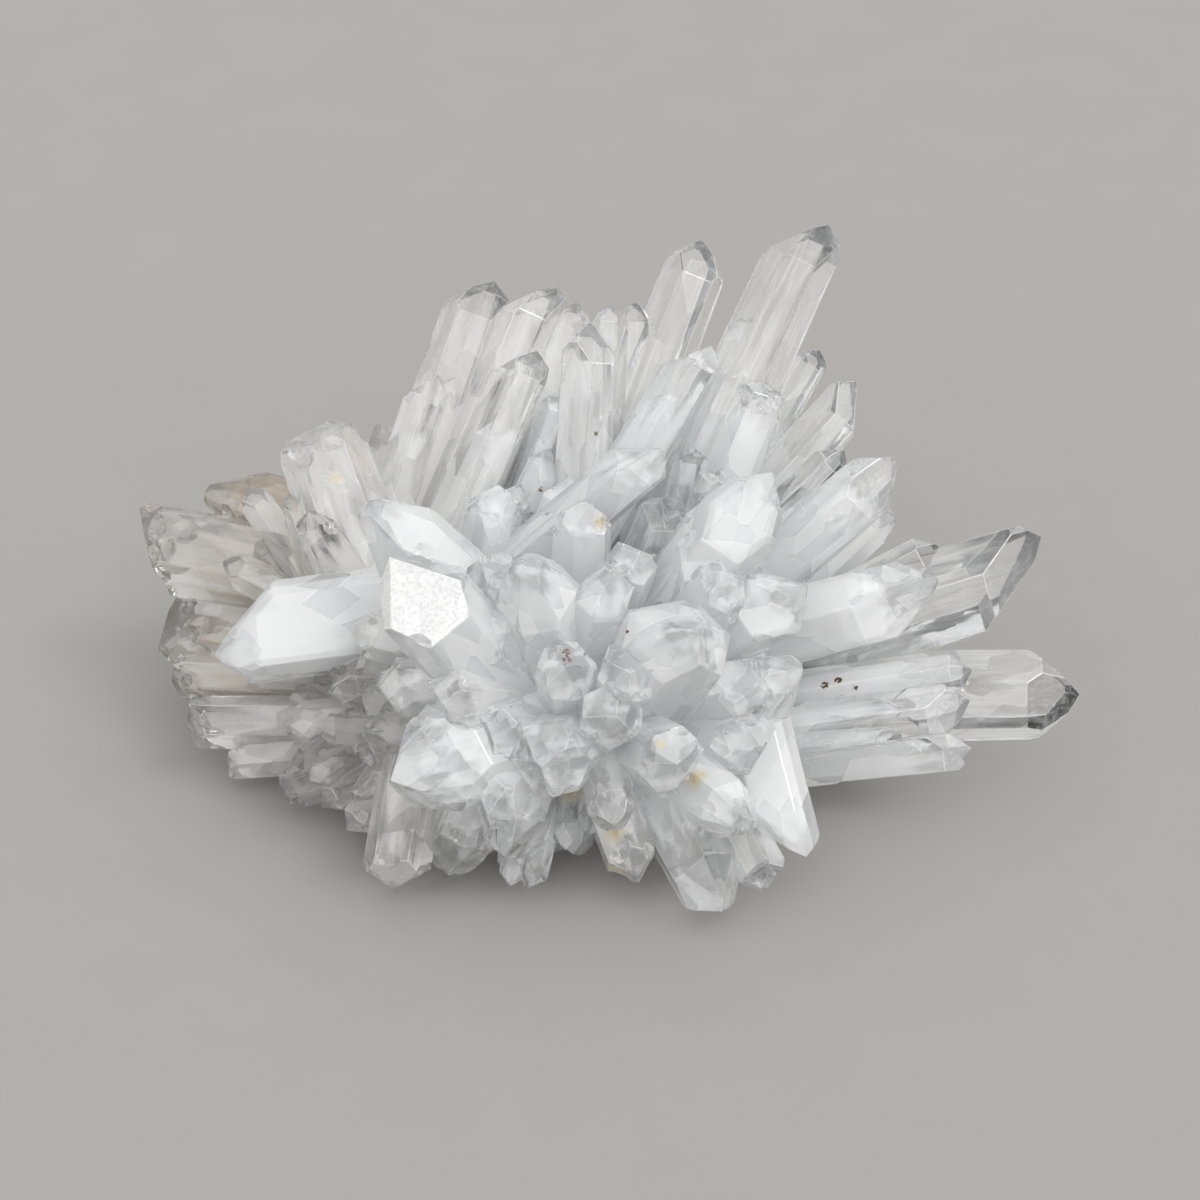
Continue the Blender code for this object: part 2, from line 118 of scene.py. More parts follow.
# How far down from the tip a crystal is clear, in widths, and how milky its clear part still is
CLEAR_LEAST, CLEAR_MOST = 0.6, 1.5
MILK_LEAST, MILK_MOST = 0.1, 0.4
FILLER_CLARITY = (0.3, 0.55)
CLARITY = {
    "a1": (2.0, 0.08), "a2": (1.4, 0.2), "a3": (1.8, 0.25), "a4": (2.0, 0.2), "a5": (1.4, 0.3),
    "a6": (1.2, 0.3), "b0": (2.4, 0.1), "b1": (3.8, 0.0), "b2": (1.2, 0.25), "b3": (2.8, 0.05),
    "b4": (2.0, 0.1), "b5": (2.0, 0.12), "b6": (0.6, 0.5), "c1": (2.0, 0.0), "c2": (0.9, 0.35),
    "c3": (0.9, 0.4), "c4": (0.5, 0.45), "c4_back": (1.6, 0.0), "d1": (2.2, 0.0), "d2": (3.0, 0.0),
    "d3": (1.4, 0.1), "d4": (2.0, 0.1), "d5": (0.6, 0.5), "k1": (0.2, 0.8), "k2": (0.2, 0.75),
    "k3": (0.2, 0.75), "k4": (0.6, 0.5), "i2": (0.2, 0.7), "i1": (0.5, 0.45), "f1": (0.15, 0.75),
    "f2": (0.2, 0.8), "f3": (0.2, 0.7), "e1": (0.9, 0.35), "h1": (0.5, 0.5), "h2": (0.6, 0.35),
    "h3": (0.6, 0.35), "j1": (0.6, 0.3), "j3": (1.2, 0.15), "j5": (0.2, 0.8), "j6": (0.4, 0.6),
    "j3_top": (0.4, 0.5), "e2": (0.5, 0.3), "e3": (0.8, 0.3), "e8": (0.8, 0.2), "e9": (0.8, 0.2),
}

# How far a crystal is tinted tan-grey: painted shade, strongest on crystals away from the light
SHADE_TINT = {
    "e2": 1.0, "e3": 0.62, "e8": 0.72, "e9": 0.66, "e4": 0.42, "e5": 0.42, "e6": 0.36, "e7": 0.5,
    "m17": 0.55, "m11": 0.45, "e1_back": 0.5, "e1": 0.12, "g1": 0.36, "g2": 0.42, "g3_left": 0.4,
    "g3_right": 0.36, "g4": 0.32, "g5": 0.28, "g6": 0.32, "g7": 0.26, "g8": 0.22, "m12": 0.36,
    "a1": 0.22, "a2": 0.16, "a3": 0.16, "a3_back": 0.16, "a4": 0.14, "a5": 0.08, "h2": 0.1, "h3": 0.1,
    "j1": 0.1, "j2": 0.1, "f1": 0.0, "f2": 0.0, "f3": 0.0, "h1": 0.0, "m1": 0.1, "m5": 0.12, "m3": 0.14,
}
WHITE_QUARTZ = (0.935, 0.938, 0.94, 1.0)
SHADED_QUARTZ = (0.78, 0.79, 0.80, 1.0)
# Painted shade: the tan-grey that crystals away from the light are tinted with
SHADE_TAN_QUARTZ = (0.50, 0.43, 0.34, 1.0)
# Painted sheen: near-white for the flat end of one crystal, greyer where the pits noise is high
PEARL_SHEEN_WHITE = (0.95, 0.95, 0.95, 1.0)
PEARL_SHEEN_GREY = (0.74, 0.74, 0.745, 1.0)

# Dark specks and yellow stains seen from the observer: u, v and radius
DARK_SPECKS = [
    (-4.4, -6.4, 0.5), (-4.1, -7.3, 0.45), (28.1, -10.6, 0.4), (29.8, -10.0, 0.4), (-7.4, 13.8, 0.22),
    (-6.6, 10.8, 0.22), (-0.5, 20.8, 0.2), (3.4, -3.9, 0.24), (31.9, -10.9, 0.3),
]
YELLOW_STAINS = [
    (-3.5, -24.2, 1.3), (1.9, -29.1, 1.2), (1.6, -33.7, 1.6), (11.9, -22.2, 1.1), (7.5, -18.1, 0.5),
    (0.0, 9.7, 0.7), (-33.1, 15.2, 0.8), (2.6, -34.4, 1.2),
]
# Dark brown of the specks, and ochre of the stains
SPECK_BROWN = (0.12, 0.062, 0.028, 1.0)
OCHRE = (0.66, 0.55, 0.24, 1.0)

# Turns in degrees and trims in millimetres of broad faces that look at the observer
BROAD_FACES = {"f1": (0.0, 1.3)}
# The one crystal whose flat end is painted near-white: a painted sheen that stands in for the light this end reflects
PEARL_SHEEN_CRYSTAL = "f3"
# Crystals left of this x are tinted more and more over a distance: painted shade on the side away from the light
LEFT_SHADE_TINT, LEFT_SHADE_FROM, LEFT_SHADE_OVER = 0.5, -14.0, 26.0
# How nearly a face of that crystal must look along its axis to take the painted sheen
PEARL_SHEEN_FACING = 0.7
# Light that is left after each surface on its way through the quartz
LIGHT_THROUGH = (0.86, 0.864, 0.868, 1.0)
# Flakes inside the quartz: how many to a millimetre, and how far they tilt the light on sound and broken faces
FLAKES = 0.38
FLAKE_TILT, BROKEN_TILT = 0.04, 0.34
# How fast the clearness of facets changes with the way they face
FACET_TURNS = (4.1, 5.3, 3.7)

# Crystals seen from the observer's side: name, tip, root, width, spin, end, favour, amount.
# Angles are degrees about the long axis: 0 faces the observer, and +90 is the right hand side of
# a crystal that points up. Spin turns the prism. At a "point" the faces towards favour grow by
# amount, in half widths; at a "flat" or "broken" end the fracture leans that way by amount degrees.
CRYSTALS = [
    # Tall row along the top
    ("a1", (-13.2, 39.9, -10), (-27.4, -1.0, -7), 8.4, 6, "point", -50, 0.5),
    ("a2", (-20.2, 28.2, -3), (-30.0, -3.0, -3), 6.6, 30, "point", -40, 0.3),
    ("a3", (-5.2, 39.2, -9), (-22.6, -2.0, -6), 8.4, 10, "point", -70, 0.9),
    ("a3_back", (-2.8, 37.2, -12), (-14.0, 5.0, -8), 6.6, 0, "point", 0, 0.2),
    ("a4", (-7.8, 31.2, -1), (-23.0, -4.0, 0), 7.6, 20, "point", -90, 0.4),
    ("a5", (-1.4, 34.8, 2), (-3.3, -8.0, 0), 8.6, 25, "point", 60, 0.2),
    ("a6", (1.4, 37.0, -9), (-2.0, 2.0, -8), 5.4, 10, "point", 0, 0.0),
    ("b0", (4.4, 37.2, -4), (3.4, 0.0, -3), 5.2, 5, "point", 90, 0.2),
    ("b1", (12.8, 45.0, -5), (-5.0, -1.0, -4), 8.4, 8, "point", 60, 0.2),
    ("b2", (14.0, 31.8, 7), (-5.0, 0.0, 3), 7.0, 28, "point", -90, 0.5),
    ("b3", (28.6, 46.9, 5), (4.0, -5.8, 0), 9.8, 2, "point", -90, 0.5),
    ("b4", (27.4, 31.4, -7), (10.0, 2.0, -5), 4.8, 20, "point", 0, 0.0),
    ("b5", (32.0, 27.4, 4), (5.0, -2.4, 2), 7.6, 24, "point", 90, 0.5),
    ("b6", (20.8, 27.0, 12), (8.0, -4.0, 6), 6.8, 10, "broken", 0, 20),
    # Right fan
    ("c1", (30.6, 18.8, 9), (12.0, 1.0, 5), 4.6, 15, "point", 0, 0.0),
    ("c2", (36.9, 17.9, 12), (11.0, -4.0, 3), 8.2, 22, "point", 20, 0.7),
    ("c3", (36.0, 11.8, 2), (14.0, -8.0, 0), 6.4, 0, "broken", 0, 15),
    ("c4", (42.4, 2.6, 17), (9.0, -6.4, 5), 10.0, 26, "point", 15, 1.0),
    ("c4_back", (42.4, 6.8, 5), (20.0, -5.0, 3), 5.0, 8, "point", 0, 0.0),
    ("d1", (55.2, 7.9, 2), (12.0, -5.4, 0), 14.2, 26, "point", 90, 0.75),
    ("d2", (60.0, -11.8, 4), (12.0, -12.3, 0), 12.0, 14, "point", 90, 0.1),
    ("d3", (46.6, -8.7, 13), (14.0, -14.0, 6), 5.2, 12, "point", 0, 0.0),
    ("d4", (46.3, -12.6, 16), (11.0, -17.5, 8), 7.2, 20, "point", 30, 0.4),
    ("d5", (46.6, -18.6, 10), (10.0, -21.8, 5), 9.6, 28, "point", -90, 0.6),
    # Crystals that point up at the observer
    ("k1", (12.2, -3.6, 37), (2.0, -17.0, 8), 13.6, 10, "point", 0, 0.4),
    ("k2", (21.6, 16.0, 24), (6.4, -5.0, 8), 10.2, 2, "point", 0, 0.9),
    ("k3", (1.6, 4.0, 28), (-3.4, -14.0, 8), 7.6, 25, "point", 0, 0.3),
    ("k4", (8.2, 18.8, 17), (-9.0, 4.0, 6), 7.0, 20, "point", -60, 0.4),
    ("k5_left", (11.6, 18.8, 15), (9.0, 6.0, 8), 4.6, 8, "broken", 0, 30),
    ("k5_mid", (14.6, 16.2, 17), (10.0, 4.0, 9), 4.2, 22, "broken", 90, 30),
    ("k5_low", (8.6, 12.0, 19), (4.0, 0.0, 8), 7.0, 16, "broken", 0, 35),
    ("i2", (-9.4, 5.0, 31), (-3.6, -13.0, 8), 11.0, 12, "dome", 0, 0),
    ("j6", (25.4, -8.6, 27), (6.0, -15.5, 11), 8.0, 18, "point", 90, 0.4),
    # Broad crystals of the front left
    ("f1", (-48.3, -6.9, 12), (-14.0, -2.6, 4), 12.2, 20, "point", 80, 0.6),
    ("f2", (-29.6, 11.8, 20), (-5.0, -10.0, 7), 11.8, 20, "dome", 0, 0),
    ("f3", (-22.8, 0.8, 30), (-9.6, -14.0, 10), 11.4, 0, "flat", 0, 32),
    ("e1", (-35.2, 20.8, 4), (-27.0, -4.0, 1), 11.6, 4, "flat", 0, 12),
    ("e1_back", (-27.4, 22.2, -8), (-24.6, 4.0, -8), 5.4, 0, "dome", 0, 0),
    ("e2", (-49.4, 13.4, -17), (-18.0, 4.0, -9), 9.8, 15, "dome", 0, 0),
    ("e3", (-55.8, 6.8, -13), (-18.0, -1.4, -6), 12.0, 22, "flat", -90, 34),
    ("e4", (-44.2, 14.0, 0), (-33.0, -3.0, 0), 4.8, 18, "point", 0, 0.0),
    ("e5", (-38.6, 13.6, 4), (-32.0, -3.0, 2), 4.6, 5, "broken", 0, 30),
    ("e6", (-36.6, 10.8, 9), (-26.0, -4.0, 4), 5.4, 20, "broken", -30, 35),
    ("e7", (-47.2, 4.8, 1), (-28.0, -5.0, 2), 5.0, 10, "point", 0, 0.0),
    ("e8", (-54.4, -3.4, -7), (-24.0, -8.0, -2), 9.4, 24, "broken", -90, -6),
    ("e9", (-53.4, -9.6, -4), (-28.0, -11.0, -1), 6.6, 6, "broken", 90, 12),
    # Small crystals low on the left
    ("g1", (-51.6, -15.2, 1), (-22.0, -15.5, 1), 7.4, 10, "broken", 90, 8),
    ("g2", (-46.6, -20.2, 3), (-26.0, -18.5, 2), 5.0, 20, "broken", 0, 10),
    ("g3_left", (-39.9, -24.2, 8), (-24.0, -18.0, 4), 5.6, 12, "broken", 0, 12),
    ("g3_right", (-34.6, -25.6, 11), (-22.0, -19.0, 5), 6.0, 0, "broken", 0, 20),
    ("g4", (-31.4, -28.6, 16), (-22.0, -20.0, 7), 5.4, 25, "broken", 0, 15),
    ("g5", (-25.8, -35.6, 26), (-22.8, -18.0, 12), 8.4, 10, "broken", 0, 12),
    ("g6", (-30.4, -19.0, 16), (-18.0, -15.0, 7), 5.4, 15, "broken", 0, 20),
    ("g7", (-31.0, -24.6, 16), (-18.0, -18.0, 7), 5.2, 5, "dome", 0, 0),
    ("g8", (-34.0, -11.4, 14), (-18.0, -12.0, 6), 5.6, 22, "point", 0, 0.0),
    # Lower front
    ("h1", (-26.2, -22.6, 32), (-6.0, -16.0, 11), 12.8, 16, "point", 0, 0.3),
    ("h2", (-18.8, -33.2, 25), (-13.0, -20.0, 12), 8.8, 8, "broken", 0, 12),
    ("h3", (-12.0, -32.0, 28), (-8.0, -20.0, 13), 8.6, 20, "point", 0, 0.2),
    ("h4", (-8.6, -35.6, 25), (-5.8, -24.0, 15), 3.6, 12, "broken", 0, 15),
    ("h4_left", (-11.2, -35.8, 25), (-9.0, -24.0, 15), 3.4, 0, "point", 0, 0.0),
    ("h5", (-3.4, -31.8, 23), (-2.0, -20.0, 13), 5.8, 25, "point", 0, 0.0),
    ("i1", (-7.4, -20.8, 36), (-2.0, -16.0, 10), 9.8, 5, "point", 0, 0.0),
    ("j1", (4.6, -34.0, 26), (-1.0, -19.0, 13), 7.0, 20, "broken", 0, 20),
    ("j2", (1.8, -28.2, 31), (0.0, -17.0, 14), 6.0, 8, "point", 0, 0.0),
    ("j3", (15.2, -39.0, 29), (4.6, -19.0, 12), 9.8, 22, "point", -90, 0.15),
    ("j3_top", (18.8, -28.4, 33), (6.0, -18.0, 14), 8.0, 18, "dome", 0, 0),
    ("j4", (21.2, -35.4, 26), (12.6, -20.0, 13), 6.4, 10, "broken", 0, 15),
    ("j5", (25.8, -32.2, 23), (18.6, -5.0, 14), 9.4, 0, "blade", 90, 0.8),
    # Fillers between the broad crystals
    ("m1", (-27.0, -11.0, 23), (-12.0, -12.0, 9), 7.6, 12, "broken", 0, 30),
    ("m2", (-19.6, -12.4, 29), (-8.0, -14.0, 11), 8.0, 22, "broken", 0, 25),
    ("m3", (-31.0, -3.6, 19), (-14.0, -8.0, 7), 6.6, 8, "broken", 0, 30),
    ("m4", (1.6, -14.0, 33), (0.0, -16.0, 12), 8.4, 24, "broken", 60, 30),
    ("m5", (-24.0, -16.0, 24), (-10.0, -16.0, 10), 6.6, 10, "point", 0, 0.0),
    ("m6", (-2.0, 12.0, 20), (-3.0, -6.0, 8), 8.0, 18, "broken", 0, 35),
    ("m7", (26.0, 1.6, 24), (8.0, -8.0, 9), 9.6, 12, "point", 0, 0.5),
    ("m8", (20.4, -18.0, 27), (8.0, -17.0, 12), 8.0, 6, "broken", 0, 25),
    ("m9", (-14.0, -26.0, 30), (-7.0, -18.0, 13), 6.4, 28, "broken", 0, 30),
    ("m10", (9.6, -20.0, 34), (3.0, -17.0, 13), 8.4, 14, "broken", 0, 20),
    ("m11", (-38.6, -3.0, 6), (-20.0, -8.0, 2), 6.2, 20, "broken", 0, 20),
    ("m12", (-40.0, -16.0, 9), (-20.0, -14.0, 4), 6.4, 4, "point", 0, 0.0),
    ("m13", (-12.6, 14.0, 8), (-16.0, -6.0, 2), 7.6, 14, "broken", 0, 40),
    ("m14", (14.6, 7.6, 24), (6.0, -5.0, 8), 8.6, 20, "broken", 90, 25),
    ("m15", (4.6, 6.0, 24), (0.0, -8.0, 8), 6.4, 12, "broken", -60, 30),
    ("m16", (-17.0, -3.0, 26), (-8.0, -12.0, 9), 9.0, 25, "broken", 30, 25),
    ("m17", (-43.0, 7.0, -4), (-24.0, -4.0, -2), 7.0, 5, "broken", 0, 30),
    ("m18", (-4.6, -8.0, 33), (-3.0, -15.0, 11), 8.0, 10, "broken", 90, 25),
    ("m19", (17.4, 2.6, 26), (6.0, -8.0, 9), 9.0, 20, "broken", 0, 25),
    ("m20", (20.2, -10.4, 28), (8.0, -14.0, 11), 8.0, 4, "broken", -60, 25),
    ("m21", (-14.6, 5.0, 22), (-9.0, -9.0, 8), 7.4, 16, "broken", 60, 30),
    ("m22", (3.8, -8.6, 34), (2.0, -14.0, 11), 8.0, 10, "broken", 0, 20),
    ("m23", (-13.0, -17.4, 31), (-6.0, -15.0, 11), 7.0, 20, "broken", 0, 25),
]

# Slender crystals between the roots of the tall row, in the same columns
ROOT_FILLERS = [
    ("n1", (-10.6, 23.0, -3), (-23.0, -6.0, -2), 5.6, 12, "point", -60, 0.5),
    ("n2", (-6.4, 19.0, -1), (-19.0, -8.0, 0), 5.2, 28, "point", 40, 0.6),
    ("n3", (-9.8, 14.6, 3), (-20.0, -8.0, 1), 6.4, 4, "point", -30, 0.7),
    ("n4", (-3.6, 15.4, 6), (-12.0, -8.0, 3), 5.4, 18, "point", 0, 0.6),
    ("n5", (-5.4, 26.0, -4), (-15.0, -2.0, -3), 4.4, 6, "point", 80, 0.3),
]

# Crystals of the far side: rings of rising elevation, angles in degrees from the +X axis
BACK_RINGS = [
    # elevation, first azimuth, last azimuth, count, shortest, longest, thinnest, thickest
    (7.0, 18.0, 166.0, 10, 31.0, 40.0, 6.0, 9.5),
    (24.0, 28.0, 158.0, 9, 32.0, 42.0, 6.0, 9.0),
    (44.0, 40.0, 146.0, 6, 31.0, 40.0, 6.0, 8.5),
    (-4.0, -24.0, 196.0, 15, 31.0, 37.0, 5.0, 7.6),
]
BACK_ORIGIN = Vector((-5.0, 2.0, 7.0))
BACK_ROOT_SHARE = 0.22
BACK_SEED = 11


def observer_axes():
    """Right, up and towards-the-observer directions."""
    c = math.cos(VIEW_ELEVATION)
    s = math.sin(VIEW_ELEVATION)
    return Vector((1, 0, 0)), Vector((0, s, c)), Vector((0, -c, s))


def place(apparent):
    """A point given by its apparent u and v and its nearness w."""
    right, up, near = observer_axes()
    u, v, w = apparent
    shrink = 1.0 - w / VIEW_DISTANCE
    point = right * (u * shrink) + up * (v * shrink) + near * w
    point.z += VIEW_CENTRE_HEIGHT
    return point


def around(angle, tilt):
    """Unit vector at an angle about the long axis and at a tilt from it."""
    return Vector((
        -math.sin(angle) * math.sin(tilt),
        math.cos(angle) * math.sin(tilt),
        math.cos(tilt),
    ))


def cut(bm, point, normal):
    """Remove what lies beyond a plane and close the cut."""
    geometry = bm.verts[:] + bm.edges[:] + bm.faces[:]
    result = bmesh.ops.bisect_plane(
        bm, geom=geometry, dist=1e-6, plane_co=point, plane_no=normal, clear_outer=True
    )
    rim = [item for item in result["geom_cut"] if isinstance(item, bmesh.types.BMEdge)]
    if len(rim) >= 3:
        bmesh.ops.edgeloop_fill(bm, edges=rim)


class Crystal:
    """One crystal: its frame and the planes that bound it."""

    def __init__(self, index, name, tip, root, width, spin, end, favour, amount):
        self.index = index
        self.name = name
        self.width = width
        self.half = width / 2
        self.end = end
        self.favour = math.radians(favour)
        axis = tip - root
        self.length = axis.length
        axis.normalize()
        up, near = observer_axes()[1:]
        facing = near if abs(axis.dot(near)) < FACING_LIMIT else up
        front = (facing - axis * facing.dot(axis)).normalized()
        turned = Matrix((front.cross(axis), front, axis)).transposed().to_4x4()
        self.frame = Matrix.Translation(root) @ turned
        spin, trim = BROAD_FACES.get(name, (spin, 0.0))
        self.turn = math.radians(spin)
        rng = random.Random(name)
        self.sides = []
        for k in range(6):
            tilt = math.pi / 2 - math.radians(rng.uniform(0.3, 1.3))
            normal = around(self.turn + k * math.pi / 3, tilt)
            distance = self.half * 0.9 * rng.uniform(0.88, 1.05) - (trim if k == 0 else 0.0)
            self.sides.append((Vector((normal.x * distance, normal.y * distance, self.length * 0.6)), normal))
        self.ends = self.end_planes(end, amount, rng)
        if end in APEX_ENDS:
            bm = self.solid(self.sides, self.ends)
            apex = max((vert.co for vert in bm.verts), key=lambda co: co.z).copy()
            bm.free()
            shift = Vector((0, 0, self.length)) - apex
            self.sides = [(point + shift, normal) for point, normal in self.sides]
            self.ends = [(point + shift, normal) for point, normal in self.ends]
        if end == "blade":
            self.sides = [self.thinned(point, normal) for point, normal in self.sides]
            self.ends = [self.thinned(point, normal) for point, normal in self.ends]

    @staticmethod
    def thinned(point, normal):
        """A plane after the crystal is flattened into a blade."""
        flat = Vector((point.x, point.y * BLADE_THINNESS, point.z))
        return flat, Vector((normal.x, normal.y / BLADE_THINNESS, normal.z)).normalized()

    def end_planes(self, end, amount, rng):
        """Planes that close the tip, each a point and an outward normal."""
        tip = Vector((0, 0, self.length))
        lean = self.favour
        half = self.half
        planes = []
        if end in APEX_ENDS:
            for k in range(6):
                angle = self.turn + k * math.pi / 3
                normal = around(angle, RHOMB_TILT)
                rise = amount * (1 - math.cos(angle - lean)) / 2
                if k % 2:
                    rise += rng.uniform(0.05, 0.3)
                planes.append((tip + normal * (rise * half), normal))
        elif end == "dome":
            for ring, tilt in enumerate(DOME_TILTS):
                for k in range(6):
                    normal = around(self.turn + (k + 0.5 * ring) * math.pi / 3, tilt)
                    inset = half * rng.uniform(0.28, 0.38) * (1 - math.cos(tilt))
                    planes.append((tip + normal * inset, normal))
            planes.append((tip - Vector((0, 0, 0.08 * half)), Vector((0, 0, 1))))
        else:
            planes.append((tip, around(lean, math.radians(amount))))
            chip_depth = 0.45 if end == "flat" else 0.1
            for side in (-1, 1):
                angle = lean + side * rng.uniform(1.7, 2.5)
                tilt = math.radians(rng.uniform(36, 58))
                planes.append((tip + around(angle, tilt) * (half * chip_depth), around(angle, tilt)))
        return planes

    def solid(self, sides, ends, foot=0.0):
        """A closed convex body in the crystal's own frame, in millimetres."""
        bm = bmesh.new()
        reach = self.width * 1.4
        bmesh.ops.create_cone(
            bm, cap_ends=True, segments=8, radius1=reach, radius2=reach, depth=self.length + self.width * 3,
            matrix=Matrix.Translation((0, 0, self.length / 2)),
        )
        for point, normal in sides:
            cut(bm, point, normal)
        cut(bm, Vector((0, 0, foot)), Vector((0, 0, -1)))
        for point, normal in ends:
            cut(bm, point, normal)
        bmesh.ops.recalc_face_normals(bm, faces=bm.faces[:])
        return bm


def back_rows():
    """Crystals of the far side, in rings that lean outwards less as they rise."""
    rng = random.Random(BACK_SEED)
    rows = []
    for ring, (elevation, first, last, count, short, long, thin, thick) in enumerate(BACK_RINGS):
        for k in range(count):
            azimuth = math.radians(first + (last - first) * k / (count - 1) + rng.uniform(-4, 4))
            tilt = math.radians(elevation + rng.uniform(-4, 4))
            direction = Vector((
                math.cos(azimuth) * math.cos(tilt),
                math.sin(azimuth) * math.cos(tilt),
                math.sin(tilt),
            ))
            reach = rng.uniform(short, long)
            tip = BACK_ORIGIN + direction * reach
            root = BACK_ORIGIN + direction * (reach * BACK_ROOT_SHARE)
            end = rng.choice(["point", "point", "point", "broken"])
            amount = 22 if end == "broken" else rng.uniform(0.0, 0.7)
            width = rng.uniform(thin, thick)
            spin = rng.uniform(0, 60)
            favour = rng.uniform(-180, 180)
            rows.append((f"back_{ring}_{k}", tip, root, width, spin, end, favour, amount))
    return rows


def all_crystals():
    seen = [(name, place(tip), place(root), *rest) for name, tip, root, *rest in CRYSTALS + ROOT_FILLERS]
    return [Crystal(index, *row) for index, row in enumerate(seen + back_rows())]


def foot_in_core(crystal):
    """How far up its axis a crystal may start and still be rooted inside the core."""
    root = crystal.frame.translation
    axis = crystal.frame.to_3x3() @ Vector((0, 0, 1))
    foot = 0.0
    step = 0.5
    while foot + step < crystal.length * 0.6:
        point = root + axis * (foot + step) - CORE_CENTRE
        depth = math.sqrt(sum((point[i] / CORE_RADII[i]) ** 2 for i in range(3)))
        if depth > ROOT_DEPTH:
            break
        foot += step
    return foot


def inside(crystal, point):
    """Whether a point lies inside a crystal."""
    local = crystal.frame.inverted() @ point
    if local.z < 0:
        return False
    return all((local - at).dot(normal) < 0 for at, normal in crystal.sides + crystal.ends)


def companions(crystal):
    """Thinner or shorter crystals grown parallel to one, which leave shoulders and steps along it."""
    rng = random.Random(crystal.name + " companions")
    if crystal.width < COMPANION_LEAST_WIDTH or crystal.end == "blade":
        return
    for _ in range(rng.choice((0, 1, 1, 2))):
        shift = around(rng.uniform(0, 2 * math.pi), math.pi / 2) * (crystal.half * rng.uniform(0.06, 0.24))
        sides = []
        for point, normal in crystal.sides:
            grow = crystal.half * rng.uniform(-0.32, 0.07)
            sides.append((point + shift + normal * grow, normal))
        drop = rng.uniform(0.20, 0.55) * crystal.length
        tip = Vector((shift.x, shift.y, crystal.length - drop))
        ends = []
        for k in range(6):
            normal = around(crystal.turn + k * math.pi / 3, RHOMB_TILT)
            rise = rng.uniform(0.0, 0.45) if k % 2 == 0 else rng.uniform(0.2, 0.7)
            ends.append((tip + normal * (rise * crystal.half), normal))
        yield sides, ends


def spall(at, outward, radius, depth, rng, facets=False):
    """A cap that bites a shell-shaped or faceted hollow with faint ripples out of a crystal near a point."""
    bm = bmesh.new()
    bmesh.ops.create_icosphere(bm, subdivisions=1 if facets else 3, radius=radius)
    outward = outward.normalized()
    centre = at + outward * (radius - depth)
    start = (-outward + Vector((rng.uniform(-0.6, 0.6), rng.uniform(-0.6, 0.6), rng.uniform(-0.6, 0.6)))).normalized()
    pitch = rng.uniform(18, 30)
    for vert in bm.verts:
        turn = vert.co.normalized().angle(start, 0.0)
        grain = FACET_GRAIN if facets else SPALL_GRAIN
        vert.co *= 1.0 + SPALL_RIPPLE * math.sin(turn * pitch) + rng.uniform(-grain, grain)
        vert.co += centre
    if not facets:
        cut(bm, centre - outward * (radius * 0.35), outward)
    bmesh.ops.recalc_face_normals(bm, faces=bm.faces[:])
    return bm


def spalls(crystal):
    """The broken hollows at the end and along the edges of one crystal."""
    rng = random.Random(crystal.name + " spalls")
    tip = Vector((0, 0, crystal.length))
    half = crystal.half
    if crystal.name in SPARKLING:
        for _ in range(SPARKLING_BITES):
            angle = rng.uniform(0, 2 * math.pi)
            outward = around(angle, math.radians(rng.uniform(5, 60)))
            at = tip + around(angle, math.pi / 2) * (half * rng.uniform(0.0, 0.8)) - Vector((0, 0, half * 0.3))
            yield spall(at, outward, half * rng.uniform(0.35, 0.6), half * rng.uniform(0.15, 0.35), rng, facets=True)
    elif crystal.name in JAGGED or crystal.end == "broken":
        count = JAGGED.get(crystal.name, 4)
        for k in range(count):
            angle = crystal.turn + (k + rng.uniform(-0.3, 0.3)) * 2 * math.pi / count
            outward = around(angle, math.radians(rng.uniform(35, 75)))
            at = rim_point(crystal, angle) - Vector((0, 0, half * rng.uniform(-0.05, 0.15)))
            yield spall(at, outward, half * rng.uniform(0.3, 0.75), half * rng.uniform(0.10, 0.24), rng)
    elif crystal.end in ("flat", "dome"):
        angle = rng.uniform(0, 2 * math.pi)
        at = rim_point(crystal, angle)
        outward = around(angle, math.radians(60))
        yield spall(at, outward, half * rng.uniform(0.3, 0.5), half * rng.uniform(0.06, 0.12), rng)
    elif rng.random() < 0.4:
        angle = crystal.turn + (rng.randrange(6) + 0.5) * math.pi / 3
        outward = around(angle, math.radians(rng.uniform(70, 95)))
        down = rng.uniform(0.15, 0.4) * crystal.length
        at = Vector((0, 0, crystal.length - down)) + around(angle, math.pi / 2) * half
        yield spall(at, outward, half * rng.uniform(0.3, 0.6), half * rng.uniform(0.10, 0.2), rng)


def rim_point(crystal, angle):
    """A point where the end of a crystal meets its side at an angle about the axis."""
    outward = around(angle, math.pi / 2)
    reach = min(
        point.dot(normal) / outward.dot(normal)
        for point, normal in ((Vector((at.x, at.y, 0)), Vector((n.x, n.y, 0))) for at, n in crystal.sides)
        if outward.dot(normal) > 0.1
    )
    across = outward * (reach * 0.92)
    height = min(
        ((at - across).dot(normal)) / normal.z
        for at, normal in crystal.ends
        if normal.z > 0.1
    )
    return across + Vector((0, 0, height))


def core_surface(direction):
    """A point on the core's mean surface in a direction from its centre."""
    stretch = math.sqrt(sum((direction[i] / CORE_RADII[i]) ** 2 for i in range(3)))
    return CORE_CENTRE + direction / stretch


